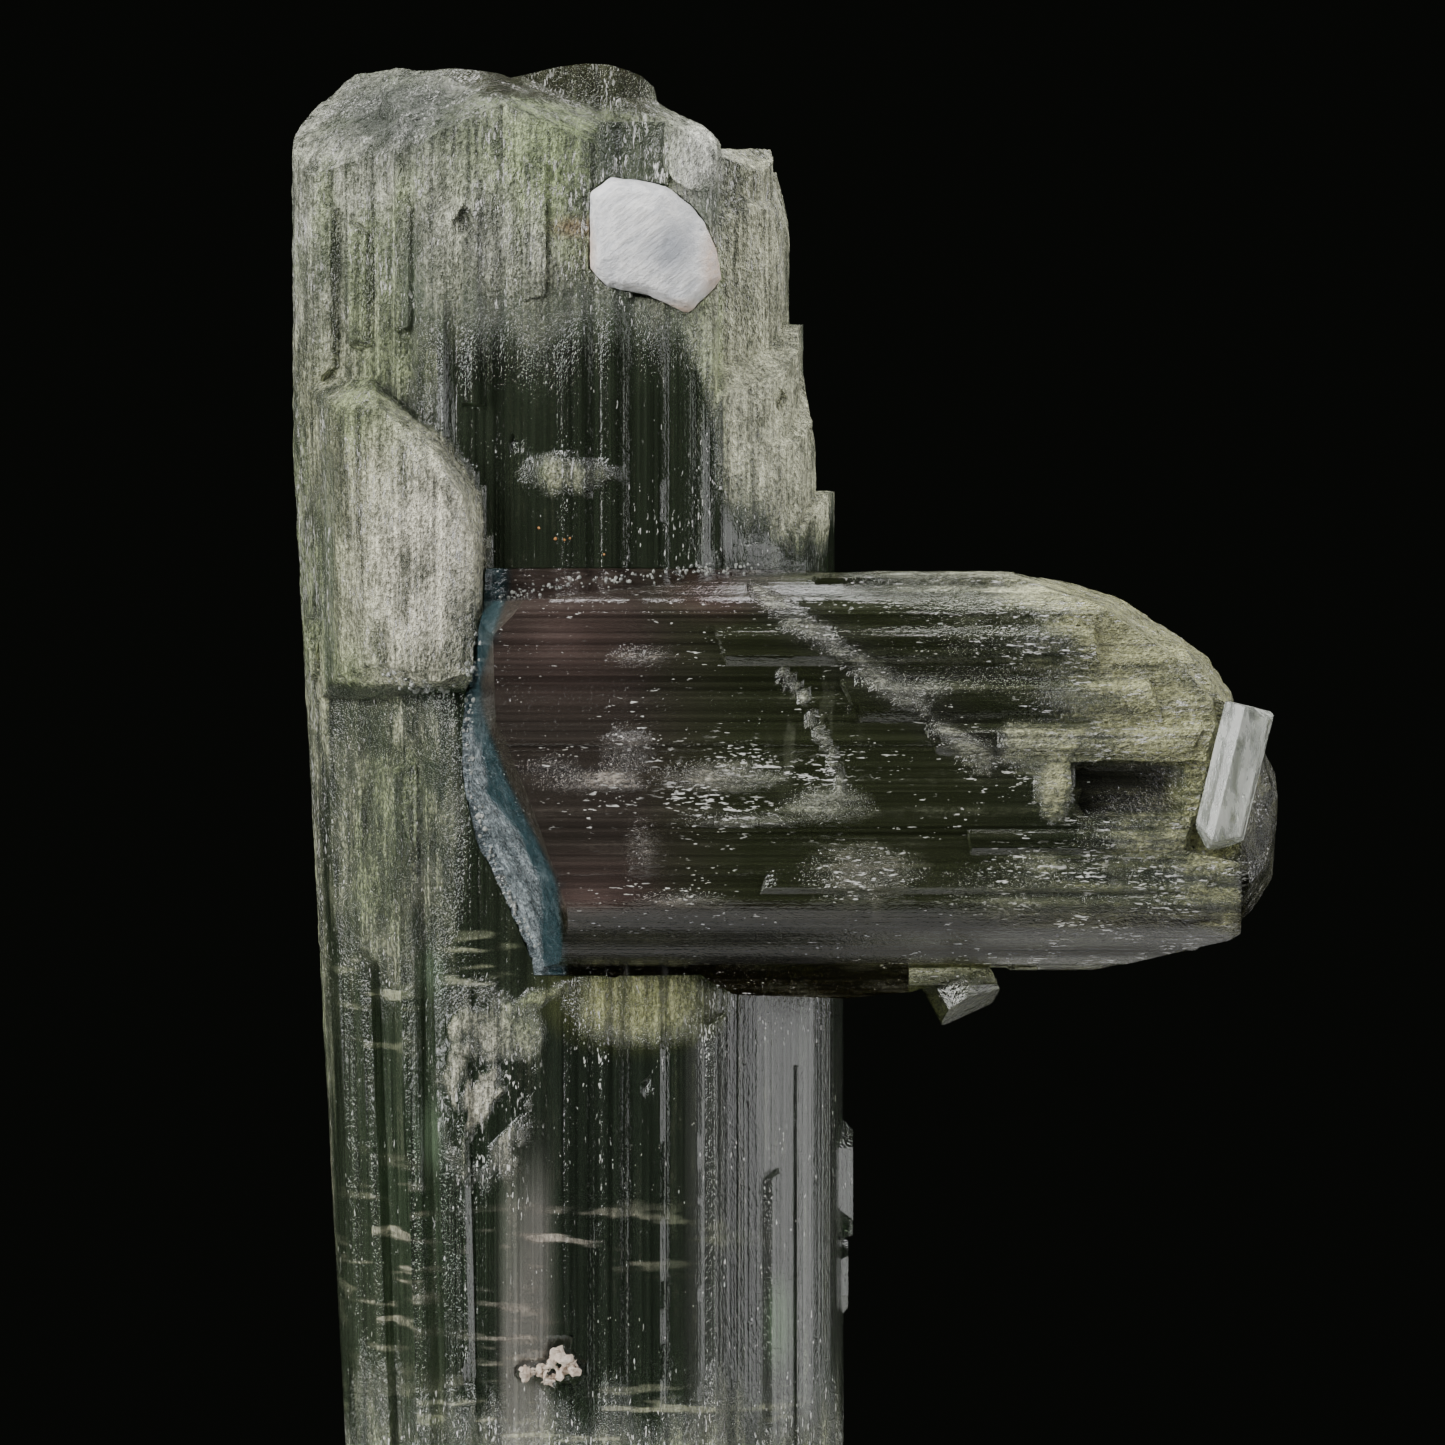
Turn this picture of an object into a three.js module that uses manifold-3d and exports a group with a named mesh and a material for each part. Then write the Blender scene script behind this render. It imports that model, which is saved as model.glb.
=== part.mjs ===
// A cluster of elbaite (green tourmaline) crystals, in millimetres, as it stands on its cut-off base.
// A tall striated prism, thinner ones beside it, a prism straight across its front and a little one under
// that grew through one another, so they are one solid. Three pieces sit on it: a white crystal near the
// top, a colourless prism at the right tip, and a patch of feldspar crumbs low on the front.
// X runs right, Y away from the viewer and Z up. The origin is the centre of the flat base.
import * as THREE from 'three';
import { mergeVertices } from 'three/addons/utils/BufferGeometryUtils.js';
import Module from 'manifold-3d';

const wasm = await Module();
wasm.setup();

// Driving dimensions
const HEIGHT = 61.5; // upright crystal, from its base to its highest peak
const HALF_WIDTH = 12.55; // upright crystal, from its axis to its left edge
const TAPER = 2.35; // how far that left edge draws in by the base
const TAPER_START = 46.1; // height below which it does
const STRIATION = 0.24; // height of the growth ribs on the prism faces
const SEAT_GAP = 0.3; // clearance around a piece that sits in another
const CROSS_START = -6.2; // cross crystal, along X
const CROSS_CORE_END = 27.15;
const CROSS_SHEATH_END = 25.5;
const TIP_PRISM = { radius: 1.02, length: 5.8, centre: [25.12, -12.2, 33.05], lean: 13.5 };
const PENDANT = { radius: 1.65, length: 4.4, centre: [13.85, -6.9, 25.55], points: [0.46, -0.32, -0.83] };
const WHITE_CRYSTAL = { front: -8.95, back: -6.95, bevel: 0.75 };
const CRUMB_RADIUS = 0.36;

// Colours, from the photographed faces
const COLOURS = {
  green: { color: 0x46523f, roughness: 0.32, metalness: 0 },
  white: { color: 0xe4e1e0, roughness: 0.4, metalness: 0 },
  colourless: { color: 0xb6bdb8, roughness: 0.15, metalness: 0 },
  beige: { color: 0xcbb9a0, roughness: 0.85, metalness: 0 },
};

// Cross-sections, corner by corner and anticlockwise: [across, along, ribs on the side that follows]
const MAIN_SECTION = [
  [-11.9, -2.5, 12], [-6.7, -7.1, 11], [-0.2, -7.6, 7], [3.4, -7.3, 3], [4.7, -6.6, 1],
  [4.8, 6.9, 6], [0.5, 8.0, 9], [-6.5, 6.7, 8], [-11.5, 2.6, 4], [-HALF_WIDTH, 0.3, 5],
];
const CROSS_SECTION = [
  [-11.3, 40.1, 10], [-12.1, 34.0, 10], [-11.8, 27.8, 5], [-9.2, 25.5, 6], [-4.0, 25.3, 5],
  [-0.9, 28.5, 8], [-0.5, 36.5, 6], [-3.2, 40.6, 7], [-9.4, 41.0, 3],
];
const CORE_SECTION = [
  [-10.6, 37.6, 3], [-11.2, 33.6, 3], [-10.7, 28.4, 2], [-8.2, 26.0, 3], [-4.6, 25.9, 2],
  [-1.9, 29.0, 3], [-1.6, 35.6, 3], [-4.2, 38.7, 2], [-8.6, 39.1, 2],
];

// Parallel crystals on the flanks of the upright one, each with its own height and the faces that end it:
// a point on the face and the way it faces
const FLANKS = [
  {
    top: 58.0,
    section: [[4.2, -3.5, 3], [6.0, -3.2, 2], [6.7, -1.8, 3], [6.75, 1.5, 3], [6.6, 5.0, 3], [4.4, 6.6, 1]],
    ends: [[[6.3, -1.0, 57.8], [0.5, -0.3, 0.81]], [[6.0, 3.6, 57.8], [0.2, 0.5, 0.85]]],
  },
  {
    top: 57.1,
    section: [[4.2, -4.6, 3], [6.5, -3.4, 3], [7.35, -1.2, 3], [7.4, 2.5, 3], [4.4, 6.8, 1]],
    ends: [
      [[7.0, 1.5, 56.8], [0.55, -0.25, 0.8]],
      [[7.3, 1.5, 55.9], [0.95, -0.1, 0.3]],
      [[5.4, -3.6, 56.0], [0.1, -0.8, 0.6]],
    ],
  },
  {
    top: 50.9,
    section: [[4.2, -6.9, 3], [6.0, -5.9, 3], [7.5, -4.5, 2], [7.95, -1.6, 4], [8.0, 3.4, 3], [4.4, 7.0, 1]],
    ends: [[[7.0, -3.9, 49.5], [0.12, -0.5, 0.86]], [[7.0, 2.6, 50.7], [0.2, 0.4, 0.9]]],
  },
  {
    top: 49.6,
    section: [[3.0, -7.2, 4], [6.1, -6.05, 3], [8.0, -4.6, 2], [8.45, -2.0, 4], [8.5, 3.4, 3], [4.2, 7.2, 1]],
    ends: [[[7.2, -4.6, 46.6], [0.35, -0.5, 0.79]], [[8.05, 0, 49.4], [0.985, 0, 0.17]]],
  },
  {
    top: 44.1,
    section: [[3.2, -7.3, 5], [6.4, -6.1, 4], [8.5, -4.2, 2], [9.2, -2.0, 3], [9.3, 2.2, 4], [4.0, 7.4, 1]],
    ends: [[[8.9, -3.0, 43.9], [0.1, -0.55, 0.84]]],
  },
  {
    top: 36.0,
    section: [
      [3.2, -7.35, 5], [6.4, -6.1, 4], [8.85, -4.1, 3], [9.6, -1.8, 4], [9.65, 2.4, 5], [4.0, 7.5, 1],
    ],
    ends: [],
  },
  {
    top: 52.3,
    section: [[-11.4, 3.0, 2], [-6.0, 6.2, 3], [-6.6, 7.9, 2], [-9.4, 7.2, 3], [-11.9, 4.8, 2]],
    ends: [[[-9.0, 6.6, 51.6], [-0.35, 0.55, 0.76]], [[-11.0, 4.6, 49.8], [-0.8, 0.1, 0.59]]],
  },
  {
    top: 44.8,
    section: [[1.0, 7.2, 2], [5.2, 6.4, 3], [7.6, 5.4, 3], [6.6, 7.7, 2], [3.6, 8.6, 3]],
    ends: [[[4.4, 7.9, 44.0], [0.3, 0.6, 0.74]], [[6.8, 6.2, 42.8], [0.75, 0.3, 0.59]]],
  },
];
// The rounded crystal that overlaps the front left edge
const LOBE_SECTION = [
  [-12.05, -1.5, 3], [-11.6, -3.7, 3], [-10.2, -6.5, 4], [-7.9, -8.8, 3], [-5.8, -9.3, 2],
  [-4.95, -8.6, 2], [-4.8, -6.8, 1], [-8.0, -2.0, 1],
];
const LOBE_BOTTOM = 35.9;
const LOBE_TOP = 48.8;

// Front outlines, [across, up]
const TOP_OUTLINE = [
  [-13.5, 40], [9, 40], [9, 56.5], [4.7, 58.3], [4.0, 59.0], [2.7, 59.6], [2.2, 60.0], [2.1, 60.55],
  [1.6, 61.0], [1.1, 61.2], [0.3, 61.45], [-0.7, 61.5], [-1.8, 61.35], [-2.8, 61.1], [-3.7, 60.9],
  [-4.0, 61.05], [-5.0, 61.2], [-6.0, 61.3], [-7.4, 61.2], [-8.4, 61.3], [-10.0, 61.1], [-10.9, 60.8],
  [-11.8, 59.8], [-12.45, 58.6], [-12.6, 57.0], [-13.5, 54],
];
const STEP_NOTCH = [
  [-5.95, 59.7], [-3.9, 59.9], [-1.1, 58.5], [-0.05, 58.2], [5.6, 58.6], [5.6, 63], [-6.0, 63],
];
const ROUGH_BLOCK = [
  [2.6, 58.9], [2.55, 57.4], [2.95, 56.8], [3.6, 56.4], [4.2, 56.3], [4.62, 56.6], [4.68, 58.4],
  [4.1, 58.95],
];
const WHITE_OUTLINE = [
  [0.51, 56.66], [-0.15, 56.16], [-0.17, 53.34], [0.42, 52.73], [1.98, 52.4], [3.48, 51.71],
  [4.14, 52.36], [4.63, 52.89], [4.42, 53.99], [3.98, 54.97], [3.44, 55.62], [2.55, 56.32], [1.65, 56.52],
];
const UNDERSIDE_BLADE = [
  [3.4, 25.5], [4.5, 24.7], [5.4, 24.25], [9.8, 24.1], [12.4, 24.35], [15.8, 25.4], [15.8, 27.5],
  [3.4, 27.5],
];
const WINDOW_OUTLINE = [
  [18.7, 33.7], [18.75, 32.4], [19.3, 31.55], [23.75, 31.55], [24.3, 33.75], [20.4, 33.75],
];
const CRUMBS = [
  [-3.0, 9.0], [-2.4, 9.05], [-2.1, 8.7], [-1.95, 9.35], [-1.7, 9.75], [-1.35, 9.45], [-1.1, 9.1],
  [-1.6, 9.0],
];

// Narrow ribs that stand proud of the upright crystal's faces:
// [across, along, bottom, top, half width, half depth]
const UPRIGHT_BLADES = [
  [-11.95, -2.9, 36.4, 39.4, 0.3, 0.35], [9.6, -0.4, 13.6, 18.8, 0.7, 1.2],
  [9.5, 0.2, 10.2, 13.9, 0.6, 1.0], [-10.2, -4.2, 4.0, 26.5, 0.5, 0.45],
  [-8.2, -6.0, 2.0, 33.8, 0.7, 0.4], [-6.2, -7.2, 1.5, 22.4, 0.35, 0.35],
  [4.6, -7.0, 2.2, 23.6, 0.5, 0.3], [6.9, -5.9, 1.2, 17.2, 0.35, 0.35],
  [7.9, -4.9, 3.0, 21.5, 0.25, 0.35], [-9.6, -4.9, 49.5, 55.4, 0.6, 0.4],
  [-4.9, -7.45, 47.0, 57.6, 0.7, 0.25], [-7.7, -6.3, 50.2, 56.4, 0.5, 0.35],
  [-2.6, -7.6, 51.5, 58.0, 0.5, 0.2], [-10.9, -3.6, 48.5, 56.2, 0.45, 0.4],
  [-6.3, -7.2, 44.0, 52.5, 0.4, 0.3], [-11.2, 3.0, 8.0, 48.0, 0.6, 0.6],
  [-8.5, 5.4, 3.0, 37.0, 0.9, 0.6], [-3.2, 7.5, 12.0, 54.0, 1.1, 0.5],
  [2.6, 7.6, 4.0, 44.0, 1.2, 0.5], [7.0, 5.0, 6.0, 40.0, 0.9, 0.6],
  [-1.0, 7.9, 2.0, 27.0, 0.8, 0.5], [-5.4, 7.0, 24.0, 57.0, 0.7, 0.4],
  [0.6, 7.9, 33.0, 58.5, 0.6, 0.4], [8.7, 3.0, 5.0, 33.0, 0.5, 0.6],
];
// The same on the cross crystal: [along, up, left, right, half depth, half height]
const CROSS_BLADES = [
  [-11.7, 38.3, 4.0, 20.6, 0.3, 0.8], [-12.0, 36.2, 9.0, 23.0, 0.25, 0.9],
  [-12.15, 34.6, 12.5, 24.4, 0.25, 0.6], [-12.05, 30.6, 14.0, 24.9, 0.3, 0.6],
  [-11.95, 29.0, 6.0, 24.8, 0.3, 0.55], [-10.4, 26.9, 2.0, 22.6, 0.5, 0.35],
  [-9.6, 40.8, 8.0, 17.2, 0.7, 0.3], [-6.0, 40.8, 10.5, 16.6, 1.0, 0.3],
  [-1.0, 33.0, 11.0, 23.0, 0.5, 1.4], [-0.9, 37.0, 12.0, 21.0, 0.5, 0.8],
  [-2.4, 26.8, 12.0, 23.0, 0.7, 0.6], [-10.9, 39.4, 12.0, 19.6, 0.3, 0.3],
  [-7.6, 25.4, 16.2, 21.8, 0.8, 0.25], [-6.2, 25.6, 15.2, 16.3, 0.3, 0.2],
];

// Small helpers

// A number from 0 to 1 that looks random and is the same each time for one seed.
function scatter(seed) {
  const wave = Math.sin(seed * 12.9898 + 4.1) * 43758.5453;
  return wave - Math.floor(wave);
}

function toSolid(geometry) {
  const bare = geometry.clone();
  bare.deleteAttribute('normal');
  bare.deleteAttribute('uv');
  const merged = mergeVertices(bare, 1e-4);
  return new wasm.Manifold(new wasm.Mesh({
    numProp: 3,
    vertProperties: merged.attributes.position.array,
    triVerts: new Uint32Array(merged.index.array),
  }));
}

function toGeometry(solid) {
  const { vertProperties, triVerts } = solid.getMesh();
  const indexed = new THREE.BufferGeometry();
  indexed.setAttribute('position', new THREE.BufferAttribute(vertProperties, 3));
  indexed.setIndex(new THREE.BufferAttribute(triVerts, 1));
  const flat = indexed.toNonIndexed();
  flat.computeVertexNormals();
  return flat;
}

function join(solids) {
  return solids.reduce((whole, solid) => whole.add(solid));
}

// Takes off everything on the side of a plane that it faces.
function cutAway(solid, point, facing) {
  const reach = 200;
  const turn = new THREE.Quaternion().setFromUnitVectors(
    new THREE.Vector3(0, 0, 1),
    new THREE.Vector3(...facing).normalize(),
  );
  const slab = new THREE.BoxGeometry(reach, reach, reach).translate(0, 0, reach / 2);
  slab.applyQuaternion(turn).translate(...point);
  return solid.subtract(toSolid(slab));
}

function cutAll(solid, cuts) {
  return cuts.reduce((left, [point, facing]) => cutAway(left, point, facing), solid);
}

function box(low, high) {
  const size = high.map((value, axis) => value - low[axis]);
  const middle = high.map((value, axis) => (value + low[axis]) / 2);
  return toSolid(new THREE.BoxGeometry(...size).translate(...middle));
}

// A cross-section whose sides are broken into shallow ribs, as growth striations break up a tourmaline's.
function striated(section, relief = STRIATION) {
  const corners = section.map(([u, v]) => new THREE.Vector2(u, v));
  const points = [];
  corners.forEach((corner, side) => {
    const next = corners[(side + 1) % corners.length];
    const outward = new THREE.Vector2(next.y - corner.y, corner.x - next.x).normalize();
    points.push(corner);
    for (let rib = 1; rib < section[side][2]; rib += 1) {
      const share = (rib + 0.5 * (scatter(side * 31 + rib) - 0.5)) / section[side][2];
      const rise = relief * scatter(side * 17 + rib * 7);
      points.push(corner.clone().lerp(next, share).addScaledVector(outward, rise));
    }
  });
  return new THREE.Shape(points);
}

// The upright crystal narrows towards its base on the left side only.
function narrowed(geometry) {
  const place = geometry.attributes.position;
  for (let i = 0; i < place.count; i += 1) {
    const share = Math.max(0, Math.min(1, -place.getX(i) / HALF_WIDTH));
    const drop = Math.max(0, 1 - place.getZ(i) / TAPER_START);
    place.setX(i, place.getX(i) + TAPER * drop * share);
  }
  return geometry;
}

// An upright prism of that section, with a ring at the height where the narrowing starts.
function upright(section, bottom, top) {
  const shape = striated(section);
  const steps = Math.max(1, Math.round((top - bottom) * 4 / HEIGHT));
  const geometry = new THREE.ExtrudeGeometry(shape, { depth: top - bottom, bevelEnabled: false, steps });
  return toSolid(narrowed(geometry.translate(0, 0, bottom)));
}

// A prism of that section along X.
function level(section, left, right) {
  const axisToX = new THREE.Matrix4().makeBasis(
    new THREE.Vector3(0, 1, 0),
    new THREE.Vector3(0, 0, 1),
    new THREE.Vector3(1, 0, 0),
  );
  const geometry = new THREE.ExtrudeGeometry(striated(section), { depth: right - left, bevelEnabled: false });
  return toSolid(geometry.translate(0, 0, left).applyMatrix4(axisToX));
}

// That front outline, grown outwards from its middle.
function grown(outline, gap) {
  const centre = new THREE.Vector2();
  outline.forEach(([x, z]) => centre.add(new THREE.Vector2(x, z).divideScalar(outline.length)));
  return outline.map(([x, z]) => {
    const out = new THREE.Vector2(x, z).sub(centre).normalize().multiplyScalar(gap);
    return [x + out.x, z + out.y];
  });
}

// A solid of that front outline, from back to front along Y.
function frontal(outline, back, front, bevel = 0) {
  const shape = new THREE.Shape(outline.map(([x, z]) => new THREE.Vector2(x, z)));
  const geometry = new THREE.ExtrudeGeometry(shape, {
    depth: back - front - 2 * bevel,
    bevelEnabled: bevel > 0,
    bevelThickness: bevel,
    bevelSize: 1.2 * bevel,
    bevelOffset: -1.2 * bevel,
    bevelSegments: 2,
  });
  const frontToDown = new THREE.Matrix4().makeBasis(
    new THREE.Vector3(1, 0, 0),
    new THREE.Vector3(0, 0, 1),
    new THREE.Vector3(0, -1, 0),
  );
  return toSolid(geometry.translate(0, 0, bevel).applyMatrix4(frontToDown).translate(0, back, 0));
}

// A six-sided striated prism along Z, centred on the origin.
function sixSided({ radius, length }, depthShare, ribs, relief, turn) {
  const corners = [];
  for (let corner = 0; corner < 6; corner += 1) {
    const angle = (corner * Math.PI) / 3 + turn;
    corners.push([radius * Math.cos(angle), radius * depthShare * Math.sin(angle), ribs]);
  }
  const shape = striated(corners, relief);
  const prism = new THREE.ExtrudeGeometry(shape, { depth: length, bevelEnabled: false });
  return toSolid(prism.translate(0, 0, -length / 2));
}

// A narrow upright rib with a sloping top and bottom.
function uprightBlade([x, y, bottom, top, halfWidth, halfDepth]) {
  const bar = new THREE.CylinderGeometry(1, 1, top - bottom, 6)
    .rotateX(Math.PI / 2)
    .scale(halfWidth, halfDepth, 1)
    .translate(x, y, (top + bottom) / 2);
  return cutAll(toSolid(narrowed(bar)), [
    [[x, y, top - halfWidth], [scatter(x) - 0.5, -0.4, 0.8]],
    [[x, y, bottom + halfWidth], [scatter(y) - 0.5, -0.5, -0.8]],
  ]);
}

// A narrow rib along the cross crystal, with slanted ends.
function levelBlade([y, z, left, right, halfDepth, halfHeight]) {
  const bar = new THREE.CylinderGeometry(1, 1, right - left, 6)
    .rotateZ(Math.PI / 2)
    .scale(1, halfDepth, halfHeight)
    .translate((left + right) / 2, y, z);
  return cutAll(toSolid(bar), [
    [[right - halfHeight, y, z], [0.8, -0.4, scatter(left) - 0.5]],
    [[left + halfHeight, y, z], [-0.8, -0.4, scatter(right) - 0.5]],
  ]);
}

// The upright crystal and those that stand beside it

function column() {
  const ridge = [-3.92, -7.5, 59.84];
  const notch = cutAway(frontal(STEP_NOTCH, -1.2, -9.5), ridge, [-0.388, 0.207, -0.898]);
  const below = box([-20, -20, -1], [20, 20, 45]).add(frontal(TOP_OUTLINE, 9, -9));
  const topped = cutAll(upright(MAIN_SECTION, 0, HEIGHT).intersect(below), [
    [ridge, [-0.42, -0.32, 0.85]],
    [[-10.36, -4.5, 56.92], [-0.62, -0.52, 0.59]],
    [[-7.4, 5.6, 61.2], [-0.1, 0.42, 0.9]],
    [[2.0, 4.6, 61.3], [0.12, 0.4, 0.9]],
  ]);
  return topped.subtract(notch);
}

// Stepped blocks along the front of the upright crystal's top
function topSteps() {
  const glossy = box([-0.1, -7.75, 52.0], [2.72, -2.6, 59.1]);
  const shelf = cutAway(box([0.4, -3.4, 56.0], [4.75, -1.0, 60.1]), [2.0, -3.0, 59.45], [0.5, -0.28, 0.82]);
  const rough = cutAway(frontal(ROUGH_BLOCK, -2.4, -8.05), [4.3, -7.4, 58.5], [0.5, -0.5, 0.7]);
  const ledge = cutAll(box([-8.9, -4.8, 56.0], [-6.0, 1.5, 61.0]), [
    [[-7.0, -3.4, 60.1], [-0.3, -0.42, 0.86]],
    [[-8.6, -3.0, 59.3], [-0.85, -0.4, 0.33]],
  ]);
  return join([glossy, shelf, rough, ledge]);
}

function flank({ top, section, ends }) {
  return cutAll(upright(section, 0, top), ends);
}

function lobe() {
  return cutAll(upright(LOBE_SECTION, LOBE_BOTTOM, LOBE_TOP), [
    [[-8.1, -8.2, 47.2], [0.5, -0.28, 0.82]],
    [[-5.9, -8.4, 45.2], [0.78, -0.3, 0.55]],
    [[-5.1, -8.4, 43.6], [0.93, -0.3, 0.22]],
    [[-10.4, -5.6, 48.0], [-0.5, -0.42, 0.76]],
    [[-8.6, -9.0, 46.0], [0.1, -0.88, 0.46]],
    [[-8.2, -8.4, 36.7], [-0.06, -0.25, -0.97]],
    [[-5.2, -8.8, 36.9], [0.3, -0.5, -0.8]],
    [[-10.9, -6.0, 37.6], [-0.5, -0.5, -0.7]],
  ]);
}

// Pits where grains broke out of the front: [across, along, up, radius]
const PITS = [
  [-9.4, -4.6, 53.6, 0.55], [-5.4, -7.4, 55.2, 0.4], [-1.6, -7.9, 57.0, 0.45], [6.6, -3.4, 54.3, 0.4],
  [-7.2, -6.7, 15.5, 0.5], [1.9, -7.8, 20.4, 0.45], [-3.4, -7.6, 46.2, 0.3], [7.4, -4.9, 47.8, 0.45],
];

function pits() {
  return join(PITS.map(([x, y, z, radius], index) => toSolid(
    new THREE.IcosahedronGeometry(radius, 0).rotateY(index).scale(1, 1, 1.6).translate(x, y, z),
  )));
}

// Small chips along the rim of the flat base
const BASE_CHIPS = [
  [[-9.3, -2.0, 0], [-0.75, -0.3, -0.58]],
  [[-6.2, -6.2, 0], [-0.35, -0.8, -0.48]],
  [[7.3, -4.8, 0], [0.6, -0.6, -0.53]],
  [[9.3, 1.6, 0], [0.86, 0.2, -0.47]],
  [[2.0, 7.7, 0], [0.1, 0.85, -0.52]],
  [[-7.9, 4.7, 0], [-0.5, 0.7, -0.51]],
];

// The cross crystal: a clear core inside a striated outer layer that stops short of the tip

function crossSheath() {
  const bars = CROSS_BLADES.map(levelBlade);
  const underside = frontal(UNDERSIDE_BLADE, -4.0, -8.8);
  return cutAll(join([level(CROSS_SECTION, CROSS_START, CROSS_SHEATH_END), underside, ...bars]), [
    [[18.6, -4.5, 40.55], [0.28, -0.04, 0.96]],
    [[21.7, -4.5, 39.3], [0.57, -0.08, 0.82]],
    [[24.2, -4.5, 37.6], [0.75, -0.12, 0.65]],
    [[25.15, -6.0, 36.3], [0.97, -0.15, 0.2]],
    [[25.2, -6.0, 27.2], [0.6, 0.1, -0.79]],
    [[23.0, -6.0, 26.0], [0.25, 0, -0.97]],
    [[24.6, -2.0, 33.0], [0.85, 0.5, 0.15]],
    [[20.5, -1.6, 38.6], [0.3, 0.6, 0.74]],
  ]);
}

function crossCore() {
  return cutAll(level(CORE_SECTION, 16, CROSS_CORE_END), [
    [[23.2, -5.0, 38.0], [0.5, 0.03, 0.86]],
    [[24.8, -5.0, 36.8], [0.85, 0, 0.52]],
    [[26.0, -6.0, 34.9], [0.8, -0.05, 0.6]],
    [[26.75, -7.0, 33.6], [0.955, -0.1, 0.28]],
    [[27.05, -7.0, 31.0], [0.985, -0.1, -0.13]],
    [[26.2, -7.0, 28.2], [0.83, -0.15, -0.54]],
    [[24.6, -7.0, 26.4], [0.45, 0, -0.89]],
    [[26.3, -10.2, 32.0], [0.8, -0.6, 0]],
    [[26.4, -3.4, 32.0], [0.78, 0.6, 0.1]],
  ]);
}

// A shallow window in the front, where the outer layer is missing
function crossWindow() {
  return join([
    frontal(WINDOW_OUTLINE, -11.5, -14),
    box([19.6, -14, 31.9], [23.0, -11.4, 33.3]),
  ]);
}

function crossCrystal() {
  return cutAll(crossSheath().subtract(crossWindow()).add(crossCore()), [
    [[-4.1, -12.0, 35.0], [-0.97, -0.24, 0]],
    [[-2.9, -12.0, 32.28], [-0.847, -0.42, -0.326]],
    [[-3.4, -11.7, 39.5], [-0.69, -0.3, 0.66]],
    [[6.4, -8.0, 41.05], [-0.1, 0, 0.995]],
  ]);
}

function pendant() {
  const { radius, length, centre, points } = PENDANT;
  const prism = cutAll(sixSided(PENDANT, 0.82, 3, 0.08, 0.12), [
    [[0.6 * radius, 0, length / 2], [0.8, 0.1, 0.6]],
    [[-0.6 * radius, 0.3, length / 2], [-0.75, 0.25, 0.6]],
  ]);
  const turn = new THREE.Quaternion().setFromUnitVectors(
    new THREE.Vector3(0, 0, 1),
    new THREE.Vector3(...points).normalize(),
  );
  return toSolid(toGeometry(prism).applyQuaternion(turn).translate(...centre));
}

// The pieces that sit on the others. Each takes the clearance to add, so that its seat can be cut.

function tipPrism(gap = 0) {
  const { radius, length } = TIP_PRISM;
  if (gap) {
    return sixSided({ radius: radius + 1.2 * gap, length: length + 2 * gap }, 0.9, 2, 0, 0.3);
  }
  return cutAll(sixSided(TIP_PRISM, 0.9, 2, 0.07, 0.3), [
    [[0.5, -0.3, length / 2 - 0.1], [0.35, -0.3, 0.85]],
    [[0.1, 0, 0.25 - length / 2], [0.45, -0.25, -0.86]],
    [[-0.7, 0, 0.6 - length / 2], [-0.7, -0.2, -0.69]],
  ]);
}

function placeTipPrism(item) {
  item.position.set(...TIP_PRISM.centre);
  item.rotation.y = THREE.MathUtils.degToRad(TIP_PRISM.lean);
  return item;
}

function tipPrismSeat() {
  const holder = placeTipPrism(new THREE.Object3D());
  holder.updateMatrix();
  return toSolid(toGeometry(tipPrism(SEAT_GAP)).applyMatrix4(holder.matrix));
}

function whiteCrystal(gap = 0) {
  const { front, back, bevel } = WHITE_CRYSTAL;
  if (gap) {
    return frontal(grown(WHITE_OUTLINE, gap), back + gap, front - 1);
  }
  return cutAll(frontal(WHITE_OUTLINE, back, front, bevel), [
    [[3.0, front + 0.15, 54.6], [0.45, -0.85, 0.25]],
    [[1.0, front + 0.1, 53.4], [-0.2, -0.92, -0.3]],
  ]);
}

function crumbs(gap = 0) {
  return join(CRUMBS.map(([x, z], index) => {
    const radius = CRUMB_RADIUS * (0.85 + 0.35 * scatter(index + 3)) + gap;
    return toSolid(new THREE.IcosahedronGeometry(radius, 0).rotateX(index).translate(x, -7.85, z));
  }));
}

// Assembly

function mesh(name, solid, finish) {
  const material = new THREE.MeshStandardMaterial({ ...finish, flatShading: true });
  const made = new THREE.Mesh(toGeometry(solid), material);
  made.name = name;
  return made;
}

function crossedCrystals() {
  const ribs = UPRIGHT_BLADES.map(uprightBlade);
  const stand = join([column(), topSteps(), lobe(), ...FLANKS.map(flank), ...ribs]);
  const whole = join([cutAll(stand, BASE_CHIPS).subtract(pits()), crossCrystal(), pendant()]);
  return whole
    .subtract(tipPrismSeat())
    .subtract(whiteCrystal(SEAT_GAP))
    .subtract(crumbs(SEAT_GAP));
}

const cluster = new THREE.Group();
cluster.add(mesh('crossed_crystals', crossedCrystals(), COLOURS.green));
cluster.add(mesh('white_crystal', whiteCrystal(), COLOURS.white));
cluster.add(placeTipPrism(mesh('tip_prism', tipPrism(), COLOURS.colourless)));
cluster.add(mesh('feldspar_crumbs', crumbs(), COLOURS.beige));

export default cluster;
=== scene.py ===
import math

import bmesh
import bpy
import numpy as np
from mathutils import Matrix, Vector, noise
from mathutils.bvhtree import BVHTree


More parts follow.
